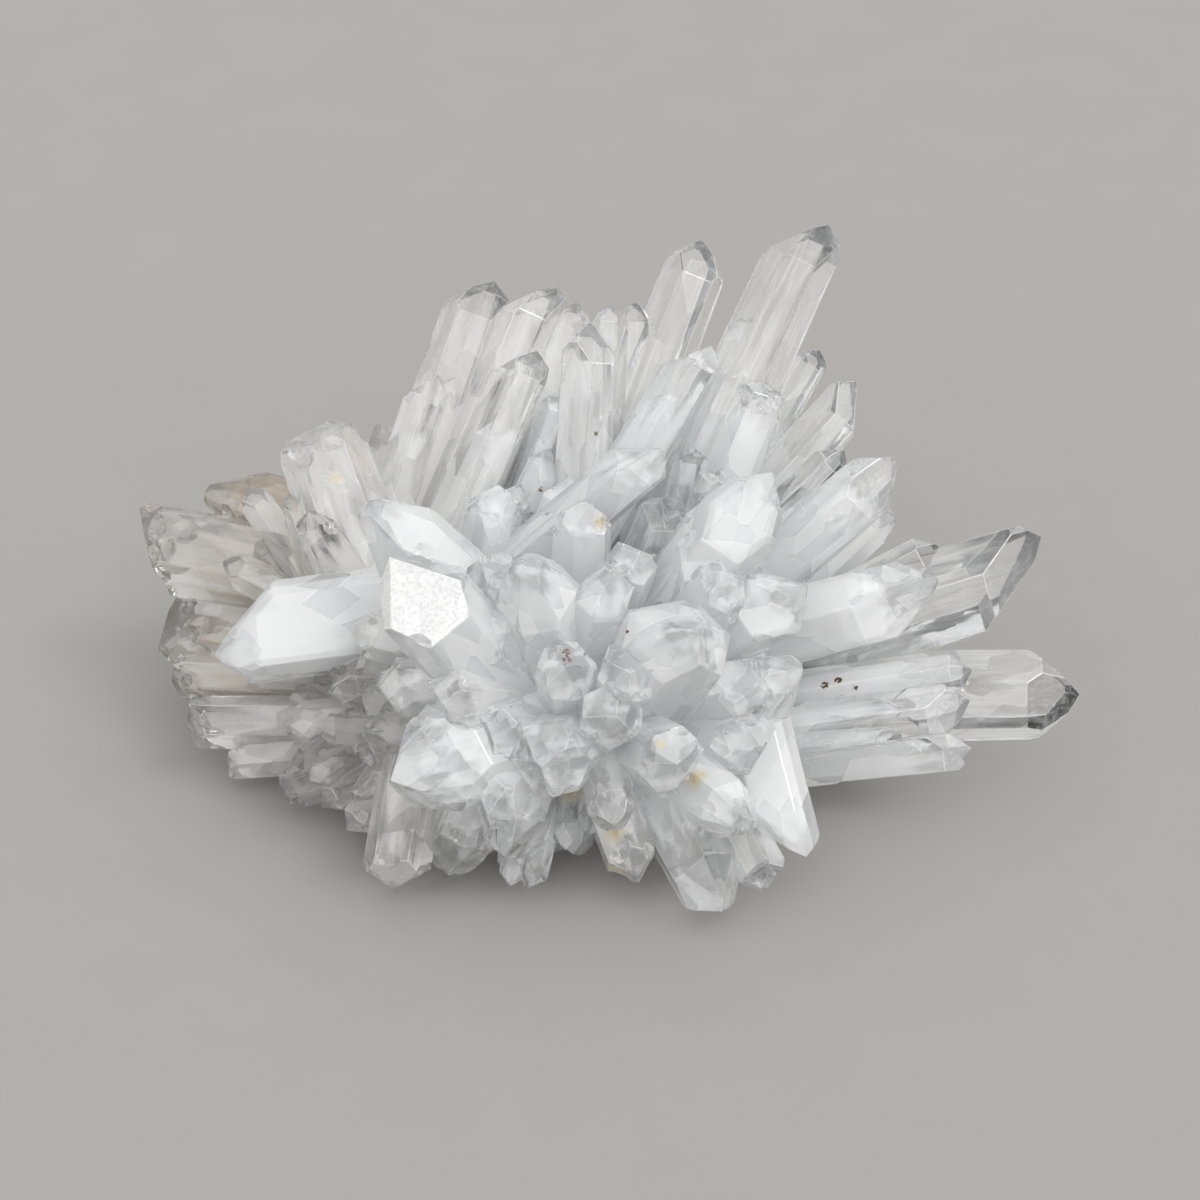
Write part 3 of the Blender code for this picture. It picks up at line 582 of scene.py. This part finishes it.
def druse_rows(crystals):
    """Small crystals that cover the core wherever the large ones leave it bare."""
    rng = random.Random(DRUSE_SEED)
    rows = []
    for label, count, low, high, shortest, longest, thinnest, thickest, spread in DRUSE:
        made = 0
        tries = 0
        while made < count and tries < count * 12:
            tries += 1
            azimuth = rng.uniform(0, 360)
            rise = math.degrees(math.asin(rng.uniform(math.sin(math.radians(low)), math.sin(math.radians(high)))))
            a, b = math.radians(azimuth), math.radians(rise)
            direction = Vector((math.cos(a) * math.cos(b), math.sin(a) * math.cos(b), math.sin(b)))
            surface = core_surface(direction)
            lean = Vector((rng.gauss(0, spread), rng.gauss(0, spread), rng.gauss(0, spread)))
            axis = (direction + lean).normalized()
            length = rng.uniform(shortest, longest)
            if DRUSE_HELD[0] < azimuth < DRUSE_HELD[1] and rise < 30:
                length *= 0.35
            tip = surface + axis * length
            width = rng.uniform(thinnest, thickest)
            root = surface - axis * (4.0 + width)
            if tip.z < width * 0.6 or any(inside(other, tip) for other in crystals):
                continue
            middle = surface + axis * (length * 0.5)
            if sum(inside(other, middle) for other in crystals) > 0:
                continue
            end = "broken" if rng.random() < 0.2 else "point"
            amount = rng.uniform(10, 30) if end == "broken" else rng.uniform(0, 0.8)
            rows.append((f"{label}_{made}", tip, root, width, rng.uniform(0, 60), end, rng.uniform(-180, 180), amount))
            made += 1
    return rows


def wear_edges(bm, wear):
    """Break the sharp edges of a body with narrow facets."""
    # The narrow facets are marked, and the surface paints them milkier: painted highlight lines along the edges
    worn = bm.faces.layers.int.new("worn")
    sharp = [edge for edge in bm.edges if edge.calc_face_angle(0.0) > EDGE_ANGLE]
    result = bmesh.ops.bevel(
        bm, geom=sharp, offset=wear, offset_type="OFFSET", segments=1, profile=0.5, affect="EDGES",
        clamp_overlap=True,
    )
    for face in result["faces"]:
        face[worn] = 1


def to_mesh(bm, name, matrix, index, fracture=0):
    """A mesh in metres whose faces remember their crystal and whether they are broken faces."""
    bm.transform(Matrix.Scale(MM, 4) @ matrix)
    crystal = bm.faces.layers.int.new("crystal")
    broken = bm.faces.layers.int.new("fracture")
    if bm.faces.layers.int.get("worn") is None:
        bm.faces.layers.int.new("worn")
    for face in bm.faces:
        face[crystal] = index
        face[broken] = fracture
        face.smooth = bool(fracture)
    mesh = bpy.data.meshes.new(name)
    bm.to_mesh(mesh)
    bm.free()
    return mesh


def core_body():
    """The lumpy mass that the crystals grow from."""
    bm = bmesh.new()
    bmesh.ops.create_icosphere(bm, subdivisions=CORE_SUBDIVISIONS, radius=1.0)
    rng = random.Random(CORE_SEED)
    waves = [
        (Vector((rng.uniform(-1, 1), rng.uniform(-1, 1), rng.uniform(-1, 1))) * CORE_WAVE_TURNS, rng.uniform(0, 6.28))
        for _ in range(CORE_WAVES)
    ]
    for vert in bm.verts:
        lump = sum(math.sin(vert.co.dot(wave) + phase) for wave, phase in waves) / len(waves)
        vert.co *= 1.0 + CORE_LUMP * lump + rng.uniform(-CORE_GRAIN, CORE_GRAIN)
        vert.co = CORE_CENTRE + Vector([vert.co[i] * CORE_RADII[i] for i in range(3)])
    return bm


def add_object(name, mesh, collection=None):
    thing = bpy.data.objects.new(name, mesh)
    (collection or bpy.context.scene.collection).objects.link(thing)
    return thing


def evaluated_copy(thing, name):
    """The mesh that an object's modifiers make, as a mesh of its own."""
    graph = bpy.context.evaluated_depsgraph_get()
    return bpy.data.meshes.new_from_object(thing.evaluated_get(graph), depsgraph=graph, preserve_all_data_layers=True)


def say(*words):
    print(f"[{time.time() - STARTED:6.1f} s]", *words, flush=True)


def joined(mesh, others, operation):
    """The mesh after a Boolean with others, as a mesh of its own."""
    tools = bpy.data.collections.new("tools")
    for other in others:
        add_object(other.name, other, tools)
    body = add_object(mesh.name, mesh)
    step = body.modifiers.new("step", "BOOLEAN")
    step.operation = operation
    step.operand_type = "COLLECTION"
    step.collection = tools
    step.solver = "MANIFOLD"
    bpy.context.view_layer.update()
    result = evaluated_copy(body, mesh.name)
    for thing in [body] + list(tools.objects):
        bpy.data.objects.remove(thing)
    bpy.data.collections.remove(tools)
    return result


def grown_cluster(crystals, druse, offset):
    """One closed body of all the crystals and the core, cut flat where it rests."""
    parts = []
    for crystal in crystals:
        foot = foot_in_core(crystal)
        matrix = offset @ crystal.frame
        bm = crystal.solid(crystal.sides, crystal.ends, foot)
        wear_edges(bm, EDGE_WEAR)
        mesh = to_mesh(bm, crystal.name, matrix, crystal.index)
        bites = [to_mesh(bite, "bite", matrix, crystal.index, 1) for bite in spalls(crystal)]
        if bites:
            mesh = joined(mesh, bites, "DIFFERENCE")
        parts.append(mesh)
        for sides, ends in companions(crystal):
            bm = crystal.solid(sides, ends, foot)
            if len(bm.faces) > 4:
                wear_edges(bm, EDGE_WEAR)
                parts.append(to_mesh(bm, crystal.name + "_beside", matrix, crystal.index))
    say("large solids made", len(parts))
    for crystal in druse:
        bm = crystal.solid(crystal.sides, crystal.ends)
        parts.append(to_mesh(bm, crystal.name, offset @ crystal.frame, crystal.index))
    say("solids made", len(parts), sum(len(mesh.polygons) for mesh in parts))
    core = to_mesh(core_body(), "core", offset, -1)
    whole = joined(core, parts, "UNION")
    say("united:", len(whole.polygons))
    ground = bmesh.new()
    bmesh.ops.create_cube(ground, size=1.0)
    size = Matrix.Diagonal((GROUND_CUT_SIZE, GROUND_CUT_SIZE, GROUND_CUT_DEPTH, 1.0))
    below = to_mesh(ground, "below", Matrix.Translation((0, 0, -GROUND_CUT_DEPTH / 2)) @ size, -2)
    whole = joined(whole, [below], "DIFFERENCE")
    say("cut:", len(whole.polygons), [a.name for a in whole.attributes])
    return whole


def grow_coordinates(mesh, crystals, offset):
    """Give each corner its place in its crystal, in millimetres: across, across, and below the tip."""
    count = len(mesh.loops)
    corner_vertex = np.empty(count, np.int32)
    mesh.loops.foreach_get("vertex_index", corner_vertex)
    co = np.empty(len(mesh.vertices) * 3)
    mesh.vertices.foreach_get("co", co)
    co = co.reshape(-1, 3)[corner_vertex] / MM
    face_crystal = np.empty(len(mesh.polygons), np.int32)
    mesh.attributes["crystal"].data.foreach_get("value", face_crystal)
    normals = np.empty(len(mesh.polygons) * 3)
    mesh.polygons.foreach_get("normal", normals)
    totals = np.empty(len(mesh.polygons), np.int32)
    mesh.polygons.foreach_get("loop_total", totals)
    owner = np.repeat(face_crystal, totals)
    normals = np.repeat(normals.reshape(-1, 3), totals, axis=0)
    local = np.zeros((count, 3))
    look = np.zeros((count, 3))
    tint = np.zeros(count)
    pearl = np.zeros(count)
    for crystal in crystals:
        mine = owner == crystal.index
        if not mine.any():
            continue
        inverse = np.array((offset @ crystal.frame).inverted())
        here = co[mine] @ inverse[:3, :3].T + inverse[:3, 3]
        here[:, 2] = crystal.length - here[:, 2]
        local[mine] = here
        look[mine] = (crystal.clear_reach, crystal.milk, crystal.seed)
        # The tint of the painted shade
        tint[mine] = crystal.tint
        # The flat end of that one crystal is marked for the painted sheen
        if crystal.name == PEARL_SHEEN_CRYSTAL:
            axis = np.array(crystal.frame.to_3x3() @ Vector((0, 0, 1)))
            pearl[mine] = normals[mine] @ axis > PEARL_SHEEN_FACING
    facet = 0.5 + 0.5 * np.sin(normals @ np.array(FACET_TURNS) + owner * 1.7)
    alone = owner < 0
    local[alone] = co[alone] + np.array((0, 0, 100.0))
    look[alone] = (1.0, 1.0, 0.5)
    for name, values in (("place", local), ("look", look)):
        attribute = mesh.attributes.new(name, "FLOAT_VECTOR", "CORNER")
        attribute.data.foreach_set("vector", values.astype(np.float32).ravel())
    for name, values in (("tint", tint), ("pearl", pearl), ("facet", facet)):
        attribute = mesh.attributes.new(name, "FLOAT", "CORNER")
        attribute.data.foreach_set("value", values.astype(np.float32))


def spot_places(mesh, stains, offset):
    """Where each speck or stain lies on the surface, found by looking from the observer's side."""
    tree = BVHTree.FromPolygons([vert.co for vert in mesh.vertices], [list(face.vertices) for face in mesh.polygons])
    near = observer_axes()[2]
    eye = Vector((0, 0, VIEW_CENTRE_HEIGHT)) + near * VIEW_DISTANCE
    found = []
    for u, v, radius in stains:
        aim = place((u, v, 0.0))
        start = (offset @ eye) * MM
        hit = tree.ray_cast(start, (offset @ aim) * MM - start)[0]
        if hit is not None:
            found.append((hit, radius * MM))
    return found


class Tree:
    """Short helpers for writing a node tree."""

    def __init__(self, name, tree=None):
        if tree is None:
            self.material = bpy.data.materials.new(name)
            self.material.use_nodes = True
            tree = self.material.node_tree
        self.tree = tree
        self.tree.nodes.clear()

    def node(self, kind, **settings):
        node = self.tree.nodes.new(kind)
        for key, value in settings.items():
            setattr(node, key, value)
        return node

    def link(self, source, target):
        if isinstance(source, (int, float)):
            target.default_value = source
        elif isinstance(source, tuple):
            target.default_value = source
        else:
            self.tree.links.new(source, target)

    def math(self, operation, a, b=0.0, c=0.0, clamp=False):
        node = self.node("ShaderNodeMath", operation=operation, use_clamp=clamp)
        for source, socket in zip((a, b, c), node.inputs):
            self.link(source, socket)
        return node.outputs[0]

    def vector(self, operation, a, b):
        node = self.node("ShaderNodeVectorMath", operation=operation)
        self.link(a, node.inputs[0])
        self.link(b, node.inputs[1])
        return node.outputs[0]

    def scaled(self, vector, amount):
        node = self.node("ShaderNodeVectorMath", operation="SCALE")
        self.link(vector, node.inputs[0])
        self.link(amount, node.inputs["Scale"])
        return node.outputs[0]

    def ramp(self, value, low, high, to_low=0.0, to_high=1.0, smooth=True):
        node = self.node("ShaderNodeMapRange", interpolation_type="SMOOTHSTEP" if smooth else "LINEAR")
        self.link(value, node.inputs["Value"])
        self.link(low, node.inputs["From Min"])
        self.link(high, node.inputs["From Max"])
        self.link(to_low, node.inputs["To Min"])
        self.link(to_high, node.inputs["To Max"])
        return node.outputs[0]

    def noise(self, at, scale, detail=2.0, roughness=0.5, distortion=0.0):
        node = self.node("ShaderNodeTexNoise")
        self.link(at, node.inputs["Vector"])
        node.inputs["Scale"].default_value = scale
        node.inputs["Detail"].default_value = detail
        node.inputs["Roughness"].default_value = roughness
        node.inputs["Distortion"].default_value = distortion
        return node.outputs["Fac"]

    def cells(self, at, scale):
        """Angular patches with a random colour for each."""
        node = self.node("ShaderNodeTexVoronoi", feature="F1")
        self.link(at, node.inputs["Vector"])
        node.inputs["Scale"].default_value = scale
        return node.outputs["Color"]

    def attribute(self, name):
        return self.node("ShaderNodeAttribute", attribute_name=name)

    def finish_lit(self, shader):
        """Make the shader the surface, and let light from a lamp or the sky pass through with a small loss."""
        path = self.node("ShaderNodeLightPath")
        through = self.node("ShaderNodeBsdfTransparent")
        through.inputs["Color"].default_value = LIGHT_THROUGH
        mix = self.node("ShaderNodeMixShader")
        self.link(path.outputs["Is Shadow Ray"], mix.inputs[0])
        self.link(shader.outputs[0], mix.inputs[1])
        self.link(through.outputs[0], mix.inputs[2])
        output = self.node("ShaderNodeOutputMaterial")
        self.link(mix.outputs[0], output.inputs["Surface"])

    def mix_colour(self, amount, a, b):
        node = self.node("ShaderNodeMix", data_type="RGBA")
        self.link(amount, node.inputs[0])
        self.link(a, node.inputs[6])
        self.link(b, node.inputs[7])
        return node.outputs[2]


def crystal_place(t):
    """Nodes for a corner's place in its crystal: the place, height below the tip, clear length, milkiness."""
    place = t.attribute("place").outputs["Vector"]
    look = t.node("ShaderNodeSeparateXYZ")
    t.link(t.attribute("look").outputs["Vector"], look.inputs[0])
    reach, milk, seed = look.outputs
    where = t.node("ShaderNodeSeparateXYZ")
    t.link(place, where.inputs[0])
    apart = t.node("ShaderNodeCombineXYZ")
    for socket in apart.inputs:
        t.link(seed, socket)
    shifted = t.vector("ADD", place, apart.outputs[0])
    return shifted, where.outputs["Z"], reach, milk


def spot_amount(t, spots):
    """How near a point is to the middle of a speck or stain, from 0 at its rim to 1."""
    at = t.node("ShaderNodeTexCoord").outputs["Object"]
    amount = 0.0
    for place_of_spot, radius in spots:
        apart = t.node("ShaderNodeVectorMath", operation="DISTANCE")
        t.link(at, apart.inputs[0])
        t.link(tuple(place_of_spot), apart.inputs[1])
        closeness = t.ramp(apart.outputs["Value"], radius * 1.7, radius * 0.3, smooth=False)
        amount = t.math("MAXIMUM", closeness, amount)
    return amount


def quartz_material(dark_specks, yellow):
    """The outer surface: glossy growth faces with fine cross lines, clear at the tips and milky at the roots."""
    t = Tree("quartz_surface")
    shifted, below, reach, milk = crystal_place(t)
    broken = t.attribute("fracture").outputs["Fac"]
    tint = t.attribute("tint").outputs["Fac"]
    pearl = t.attribute("pearl").outputs["Fac"]
    facet = t.attribute("facet").outputs["Fac"]
    worn = t.attribute("worn").outputs["Fac"]

    flake = t.cells(t.vector("MULTIPLY", shifted, (1.0, 1.0, 0.45)), FLAKES)
    flakes = t.node("ShaderNodeSeparateXYZ")
    t.link(flake, flakes.inputs[0])
    window, shade, _ = flakes.outputs

    streaked = t.vector("MULTIPLY", shifted, (1.0, 1.0, 0.08))
    cloud = t.noise(streaked, 0.7, 1.0, 0.6)
    ragged = t.math("MULTIPLY", t.math("SUBTRACT", cloud, 0.5), t.math("MULTIPLY", reach, 1.8))
    level = t.math("ADD", below, ragged)
    clear = t.ramp(level, t.math("MULTIPLY", reach, 1.5), t.math("MULTIPLY", reach, 0.2))
    clear = t.math("MULTIPLY", clear, t.math("SUBTRACT", 1.0, milk))
    wisps = t.ramp(t.noise(streaked, 2.2, 0.0), 0.50, 0.72)
    clear = t.math("MULTIPLY", clear, t.math("MULTIPLY_ADD", wisps, -0.22, 1.0), clamp=True)
    clear = t.math("MULTIPLY", clear, t.ramp(facet, 0.12, 0.42, 0.5, 1.0))
    # Painted highlight: the narrow facets along the edges are made less clear, so they show as white lines
    clear = t.math("MULTIPLY", clear, t.math("MULTIPLY_ADD", worn, -0.6, 1.0))
    # The end with the painted sheen is made less clear
    clear = t.math("MULTIPLY", clear, t.math("MULTIPLY_ADD", pearl, -0.8, 1.0), clamp=True)

    lines = t.noise(t.vector("MULTIPLY", shifted, (0.12, 0.12, 4.2)), 1.0, 0.0)
    slow = t.noise(shifted, 0.35, 0.0)
    pits = t.noise(shifted, 2.8, 0.0)
    flat = t.math("SUBTRACT", 1.0, broken)
    height = t.math("MULTIPLY", lines, t.math("MULTIPLY", flat, 0.008))
    height = t.math("MULTIPLY_ADD", slow, 0.06, height)
    rough = t.math("MAXIMUM", broken, t.math("MULTIPLY", pearl, 0.5))
    height = t.math("MULTIPLY_ADD", pits, t.math("MULTIPLY", rough, 0.08), height)
    tilt = t.ramp(broken, 0.0, 1.0, FLAKE_TILT, BROKEN_TILT, smooth=False)
    tilted = t.scaled(t.vector("SUBTRACT", flake, (0.5, 0.5, 0.5)), tilt)
    tilted = t.vector("ADD", t.node("ShaderNodeNewGeometry").outputs["Normal"], tilted)
    bump = t.node("ShaderNodeBump")
    bump.inputs["Strength"].default_value = 1.0
    bump.inputs["Distance"].default_value = 0.001
    t.link(height, bump.inputs["Height"])
    t.link(t.scaled(tilted, 1.0), bump.inputs["Normal"])

    # Dark brown specks at the listed spots, broken up by the pits noise
    specked = t.math("MULTIPLY", spot_amount(t, dark_specks), t.ramp(pits, 0.38, 0.50), clamp=True)
    ochre = t.math("MULTIPLY", spot_amount(t, yellow), t.ramp(pits, 0.30, 0.58, 0.2, 1.0), clamp=True)
    # Painted shade: crystals are tinted tan-grey by their shade tint, varied by the cloud noise
    body = t.mix_colour(t.math("MULTIPLY", tint, t.ramp(cloud, 0.3, 0.7, 0.75, 1.2)), WHITE_QUARTZ, SHADE_TAN_QUARTZ)
    body = t.mix_colour(t.math("MULTIPLY", shade, 0.4), body, SHADED_QUARTZ)
    body = t.mix_colour(ochre, body, OCHRE)
    # Painted sheen: the flat end of one crystal is painted near-white, greyer in the pits
    body = t.mix_colour(pearl, body, t.mix_colour(t.ramp(pits, 0.50, 0.66, 0.0, 0.6), PEARL_SHEEN_WHITE, PEARL_SHEEN_GREY))
    body = t.mix_colour(t.ramp(specked, 0.1, 0.4), body, SPECK_BROWN)
    spotted = t.math("MAXIMUM", specked, t.math("MULTIPLY", ochre, 0.6))

    shader = t.node("ShaderNodeBsdfPrincipled")
    t.link(t.mix_colour(t.math("MULTIPLY", clear, 0.6), body, (0.985, 0.99, 0.99, 1)), shader.inputs["Base Color"])
    t.link(t.ramp(slow, 0.3, 0.7, 0.03, 0.10), shader.inputs["Roughness"])
    least = t.ramp(window, 0.35, 0.75, 0.45, 0.72)
    see = t.ramp(clear, 0.0, 1.0, least, 1.0, smooth=False)
    # Less see-through at the specks, the stains and the end with the painted sheen
    see = t.math("MULTIPLY", see, t.math("SUBTRACT", 1.0, t.math("MAXIMUM", spotted, t.math("MULTIPLY", pearl, 0.7))))
    t.link(see, shader.inputs["Transmission Weight"])
    shader.inputs["IOR"].default_value = 1.544
    t.link(bump.outputs[0], shader.inputs["Normal"])

    t.finish_lit(shader)
    return t.material


def milk_material():
    """Clouds inside the crystals: dense at the roots, thinning into streaks towards the tips."""
    t = Tree("quartz_veils")
    shifted, below, reach, milk = crystal_place(t)
    tint = t.attribute("tint").outputs["Fac"]
    streaked = t.vector("MULTIPLY", shifted, (1.0, 1.0, 0.07))
    cloud = t.noise(streaked, 0.6, 1.0, 0.55)
    gradient = t.ramp(below, t.math("MULTIPLY", reach, 0.3), t.math("MULTIPLY", reach, 2.6), 0.0, 1.0)
    density = t.ramp(t.math("ADD", cloud, t.math("MULTIPLY_ADD", gradient, 0.56, -0.26)), 0.36, 0.78)
    shader = t.node("ShaderNodeBsdfPrincipled")
    # The veils take the same painted shade tint
    t.link(t.mix_colour(tint, (0.94, 0.95, 0.965, 1), SHADE_TAN_QUARTZ), shader.inputs["Base Color"])
    shader.inputs["Roughness"].default_value = 0.6
    shader.inputs["Specular IOR Level"].default_value = 0.1
    t.link(density, shader.inputs["Alpha"])
    t.finish_lit(shader)
    return t.material


def nearby_shade_tint(crystal):
    """The painted shade of an unnamed crystal: the left of the cluster, away from the light, is painted greyer than
    the rest.
    """
    x = (crystal.frame @ Vector((0, 0, crystal.length))).x
    return LEFT_SHADE_TINT * min(max((LEFT_SHADE_FROM - x) / LEFT_SHADE_OVER, 0.0), 1.0)


def set_clarity(crystals):
    """Give each crystal the length of its clear tip, its milkiness and a place in the patterns."""
    for crystal in crystals:
        rng = random.Random(crystal.name + " look")
        reach = rng.uniform(CLEAR_LEAST, CLEAR_MOST)
        milk = rng.uniform(MILK_LEAST, MILK_MOST)
        if crystal.name[0] in "mn":
            reach, milk = FILLER_CLARITY
        reach, milk = CLARITY.get(crystal.name, (reach, milk))
        crystal.clear_reach = reach * crystal.width
        crystal.milk = milk
        crystal.seed = rng.uniform(0.0, 50.0)
        # Painted shade: a tan-grey tint from the table, or from the crystal's place on the left
        crystal.tint = SHADE_TINT.get(crystal.name, nearby_shade_tint(crystal))


def veil_mesh(crystals, offset):
    """Clouds inside the crystals: one closed body within another, clear of the crystal's faces."""
    whole = bmesh.new()
    place = whole.loops.layers.float_vector.new("place")
    look = whole.loops.layers.float_vector.new("look")
    # Each crystal's painted shade tint goes with its veils
    tint = whole.loops.layers.float.new("tint")
    for crystal in crystals:
        matrix = Matrix.Scale(MM, 4) @ offset @ crystal.frame
        for share, lower in VEILS:
            inset = crystal.half * 0.9 * (1 - share)
            sides = [(point - normal * inset, normal) for point, normal in crystal.sides]
            down = Vector((0, 0, -max(0.4, crystal.clear_reach * lower)))
            ends = [(point + down, normal) for point, normal in crystal.ends]
            bm = crystal.solid(sides, ends, foot=0.3)
            if len(bm.faces) >= 4:
                new = {vert: whole.verts.new(matrix @ vert.co) for vert in bm.verts}
                for face in bm.faces:
                    made = whole.faces.new([new[vert] for vert in face.verts])
                    for corner, old in zip(made.loops, face.verts):
                        corner[place] = Vector((old.co.x, old.co.y, crystal.length - old.co.z))
                        corner[look] = Vector((crystal.clear_reach, crystal.milk, crystal.seed))
                        corner[tint] = crystal.tint
            bm.free()
    mesh = bpy.data.meshes.new("veils")
    whole.to_mesh(mesh)
    whole.free()
    return mesh


def joined_pieces(first, second):
    """Two objects made one, with the materials of both."""
    bpy.ops.object.select_all(action="DESELECT")
    first.select_set(True)
    second.select_set(True)
    bpy.context.view_layer.objects.active = first
    bpy.ops.object.join()
    return first


def floor_material():
    t = Tree("table")
    at = t.node("ShaderNodeTexCoord").outputs["Object"]
    grain = t.noise(at, 60.0, 2.0, 0.6)
    shader = t.node("ShaderNodeBsdfPrincipled")
    t.link(t.mix_colour(grain, (0.370, 0.358, 0.342, 1), (0.392, 0.380, 0.364, 1)), shader.inputs["Base Color"])
    shader.inputs["Roughness"].default_value = 0.6
    output = t.node("ShaderNodeOutputMaterial")
    t.link(shader.outputs[0], output.inputs["Surface"])
    return t.material


# The soft light: direction, edges of its disc as angles from its middle, strength, colour
KEY_DIRECTION = Vector((0.60, -0.18, 0.78)).normalized()
KEY_INNER = math.radians(8.0)
KEY_OUTER = math.radians(14.0)
KEY_STRENGTH = 7.0
KEY_COLOUR = (1.0, 0.985, 0.96, 1.0)
SKY_LOW = (0.51, 0.505, 0.50, 1.0)
SKY_HIGH = (0.64, 0.645, 0.65, 1.0)
BACK_GAIN, FRONT_GAIN = 1.25, 2.4


def studio():
    """A floor, and a pale world with one soft light to the right above, brighter in front than behind."""
    bpy.ops.mesh.primitive_plane_add(size=3.0, location=(0, 0, 0))
    floor = bpy.context.object
    floor.name = "floor"
    floor.data.materials.append(floor_material())

    world = bpy.data.worlds.new("studio")
    bpy.context.scene.world = world
    world.use_nodes = True
    t = Tree("studio", world.node_tree)
    direction = t.node("ShaderNodeTexCoord").outputs["Generated"]
    split = t.node("ShaderNodeSeparateXYZ")
    t.link(direction, split.inputs[0])
    sky = t.node("ShaderNodeBackground")
    t.link(t.mix_colour(t.ramp(split.outputs["Z"], 0.0, 1.0, smooth=False), SKY_LOW, SKY_HIGH), sky.inputs["Color"])
    t.link(t.ramp(split.outputs["Y"], 0.2, -1.0, BACK_GAIN, FRONT_GAIN), sky.inputs["Strength"])
    facing = t.node("ShaderNodeVectorMath", operation="DOT_PRODUCT")
    t.link(direction, facing.inputs[0])
    t.link(tuple(KEY_DIRECTION), facing.inputs[1])
    disc = t.ramp(facing.outputs["Value"], math.cos(KEY_OUTER), math.cos(KEY_INNER), 0.0, KEY_STRENGTH)
    key = t.node("ShaderNodeBackground")
    key.inputs["Color"].default_value = KEY_COLOUR
    t.link(disc, key.inputs["Strength"])
    both = t.node("ShaderNodeAddShader")
    t.link(sky.outputs[0], both.inputs[0])
    t.link(key.outputs[0], both.inputs[1])
    output = t.node("ShaderNodeOutputWorld")
    t.link(both.outputs[0], output.inputs["Surface"])


def camera(offset):
    data = bpy.data.cameras.new("camera")
    data.sensor_width = 36.0
    data.lens = 36.0 * VIEW_DISTANCE / VIEW_FIELD
    thing = bpy.data.objects.new("camera", data)
    bpy.context.scene.collection.objects.link(thing)
    near = observer_axes()[2]
    centre = offset @ Vector((0, 0, VIEW_CENTRE_HEIGHT))
    thing.location = (centre + near * VIEW_DISTANCE) * MM
    thing.rotation_euler = (math.pi / 2 - VIEW_ELEVATION, 0, 0)
    bpy.context.scene.camera = thing


def centre_offset(crystals):
    """The shift that brings the middle of the footprint to the origin."""
    lows = Vector((1e9, 1e9))
    highs = Vector((-1e9, -1e9))
    for crystal in crystals:
        bm = crystal.solid(crystal.sides, crystal.ends)
        for vert in bm.verts:
            point = crystal.frame @ vert.co
            lows = Vector((min(lows.x, point.x), min(lows.y, point.y)))
            highs = Vector((max(highs.x, point.x), max(highs.y, point.y)))
        bm.free()
    middle = (lows + highs) / 2
    return Matrix.Translation((-middle.x, -middle.y, 0.0))


def main():
    crystals = all_crystals()
    offset = centre_offset(crystals)
    first = len(crystals)
    druse = [Crystal(first + index, *row) for index, row in enumerate(druse_rows(crystals))]
    set_clarity(crystals + druse)
    say("druse", len(druse), "offset", offset.translation)
    mesh = grown_cluster(crystals, druse, offset)
    grow_coordinates(mesh, crystals + druse, offset)
    mesh.materials.clear()
    dark_specks = spot_places(mesh, DARK_SPECKS, offset)
    yellow = spot_places(mesh, YELLOW_STAINS, offset)
    mesh.materials.append(quartz_material(dark_specks, yellow))
    quartz = add_object("quartz", mesh)
    veils = veil_mesh(crystals, offset)
    veils.materials.append(milk_material())
    quartz = joined_pieces(quartz, add_object("veils", veils))
    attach(quartz, "root")
    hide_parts("quartz_cluster")
    studio()
    camera(offset)
    scene = bpy.context.scene
    scene.view_settings.view_transform = "Standard"
    scene.cycles.max_bounces = 6
    scene.cycles.diffuse_bounces = 2
    scene.cycles.glossy_bounces = 2
    scene.cycles.transmission_bounces = 6
    scene.cycles.transparent_max_bounces = 5
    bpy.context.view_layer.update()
    say("done")


main()
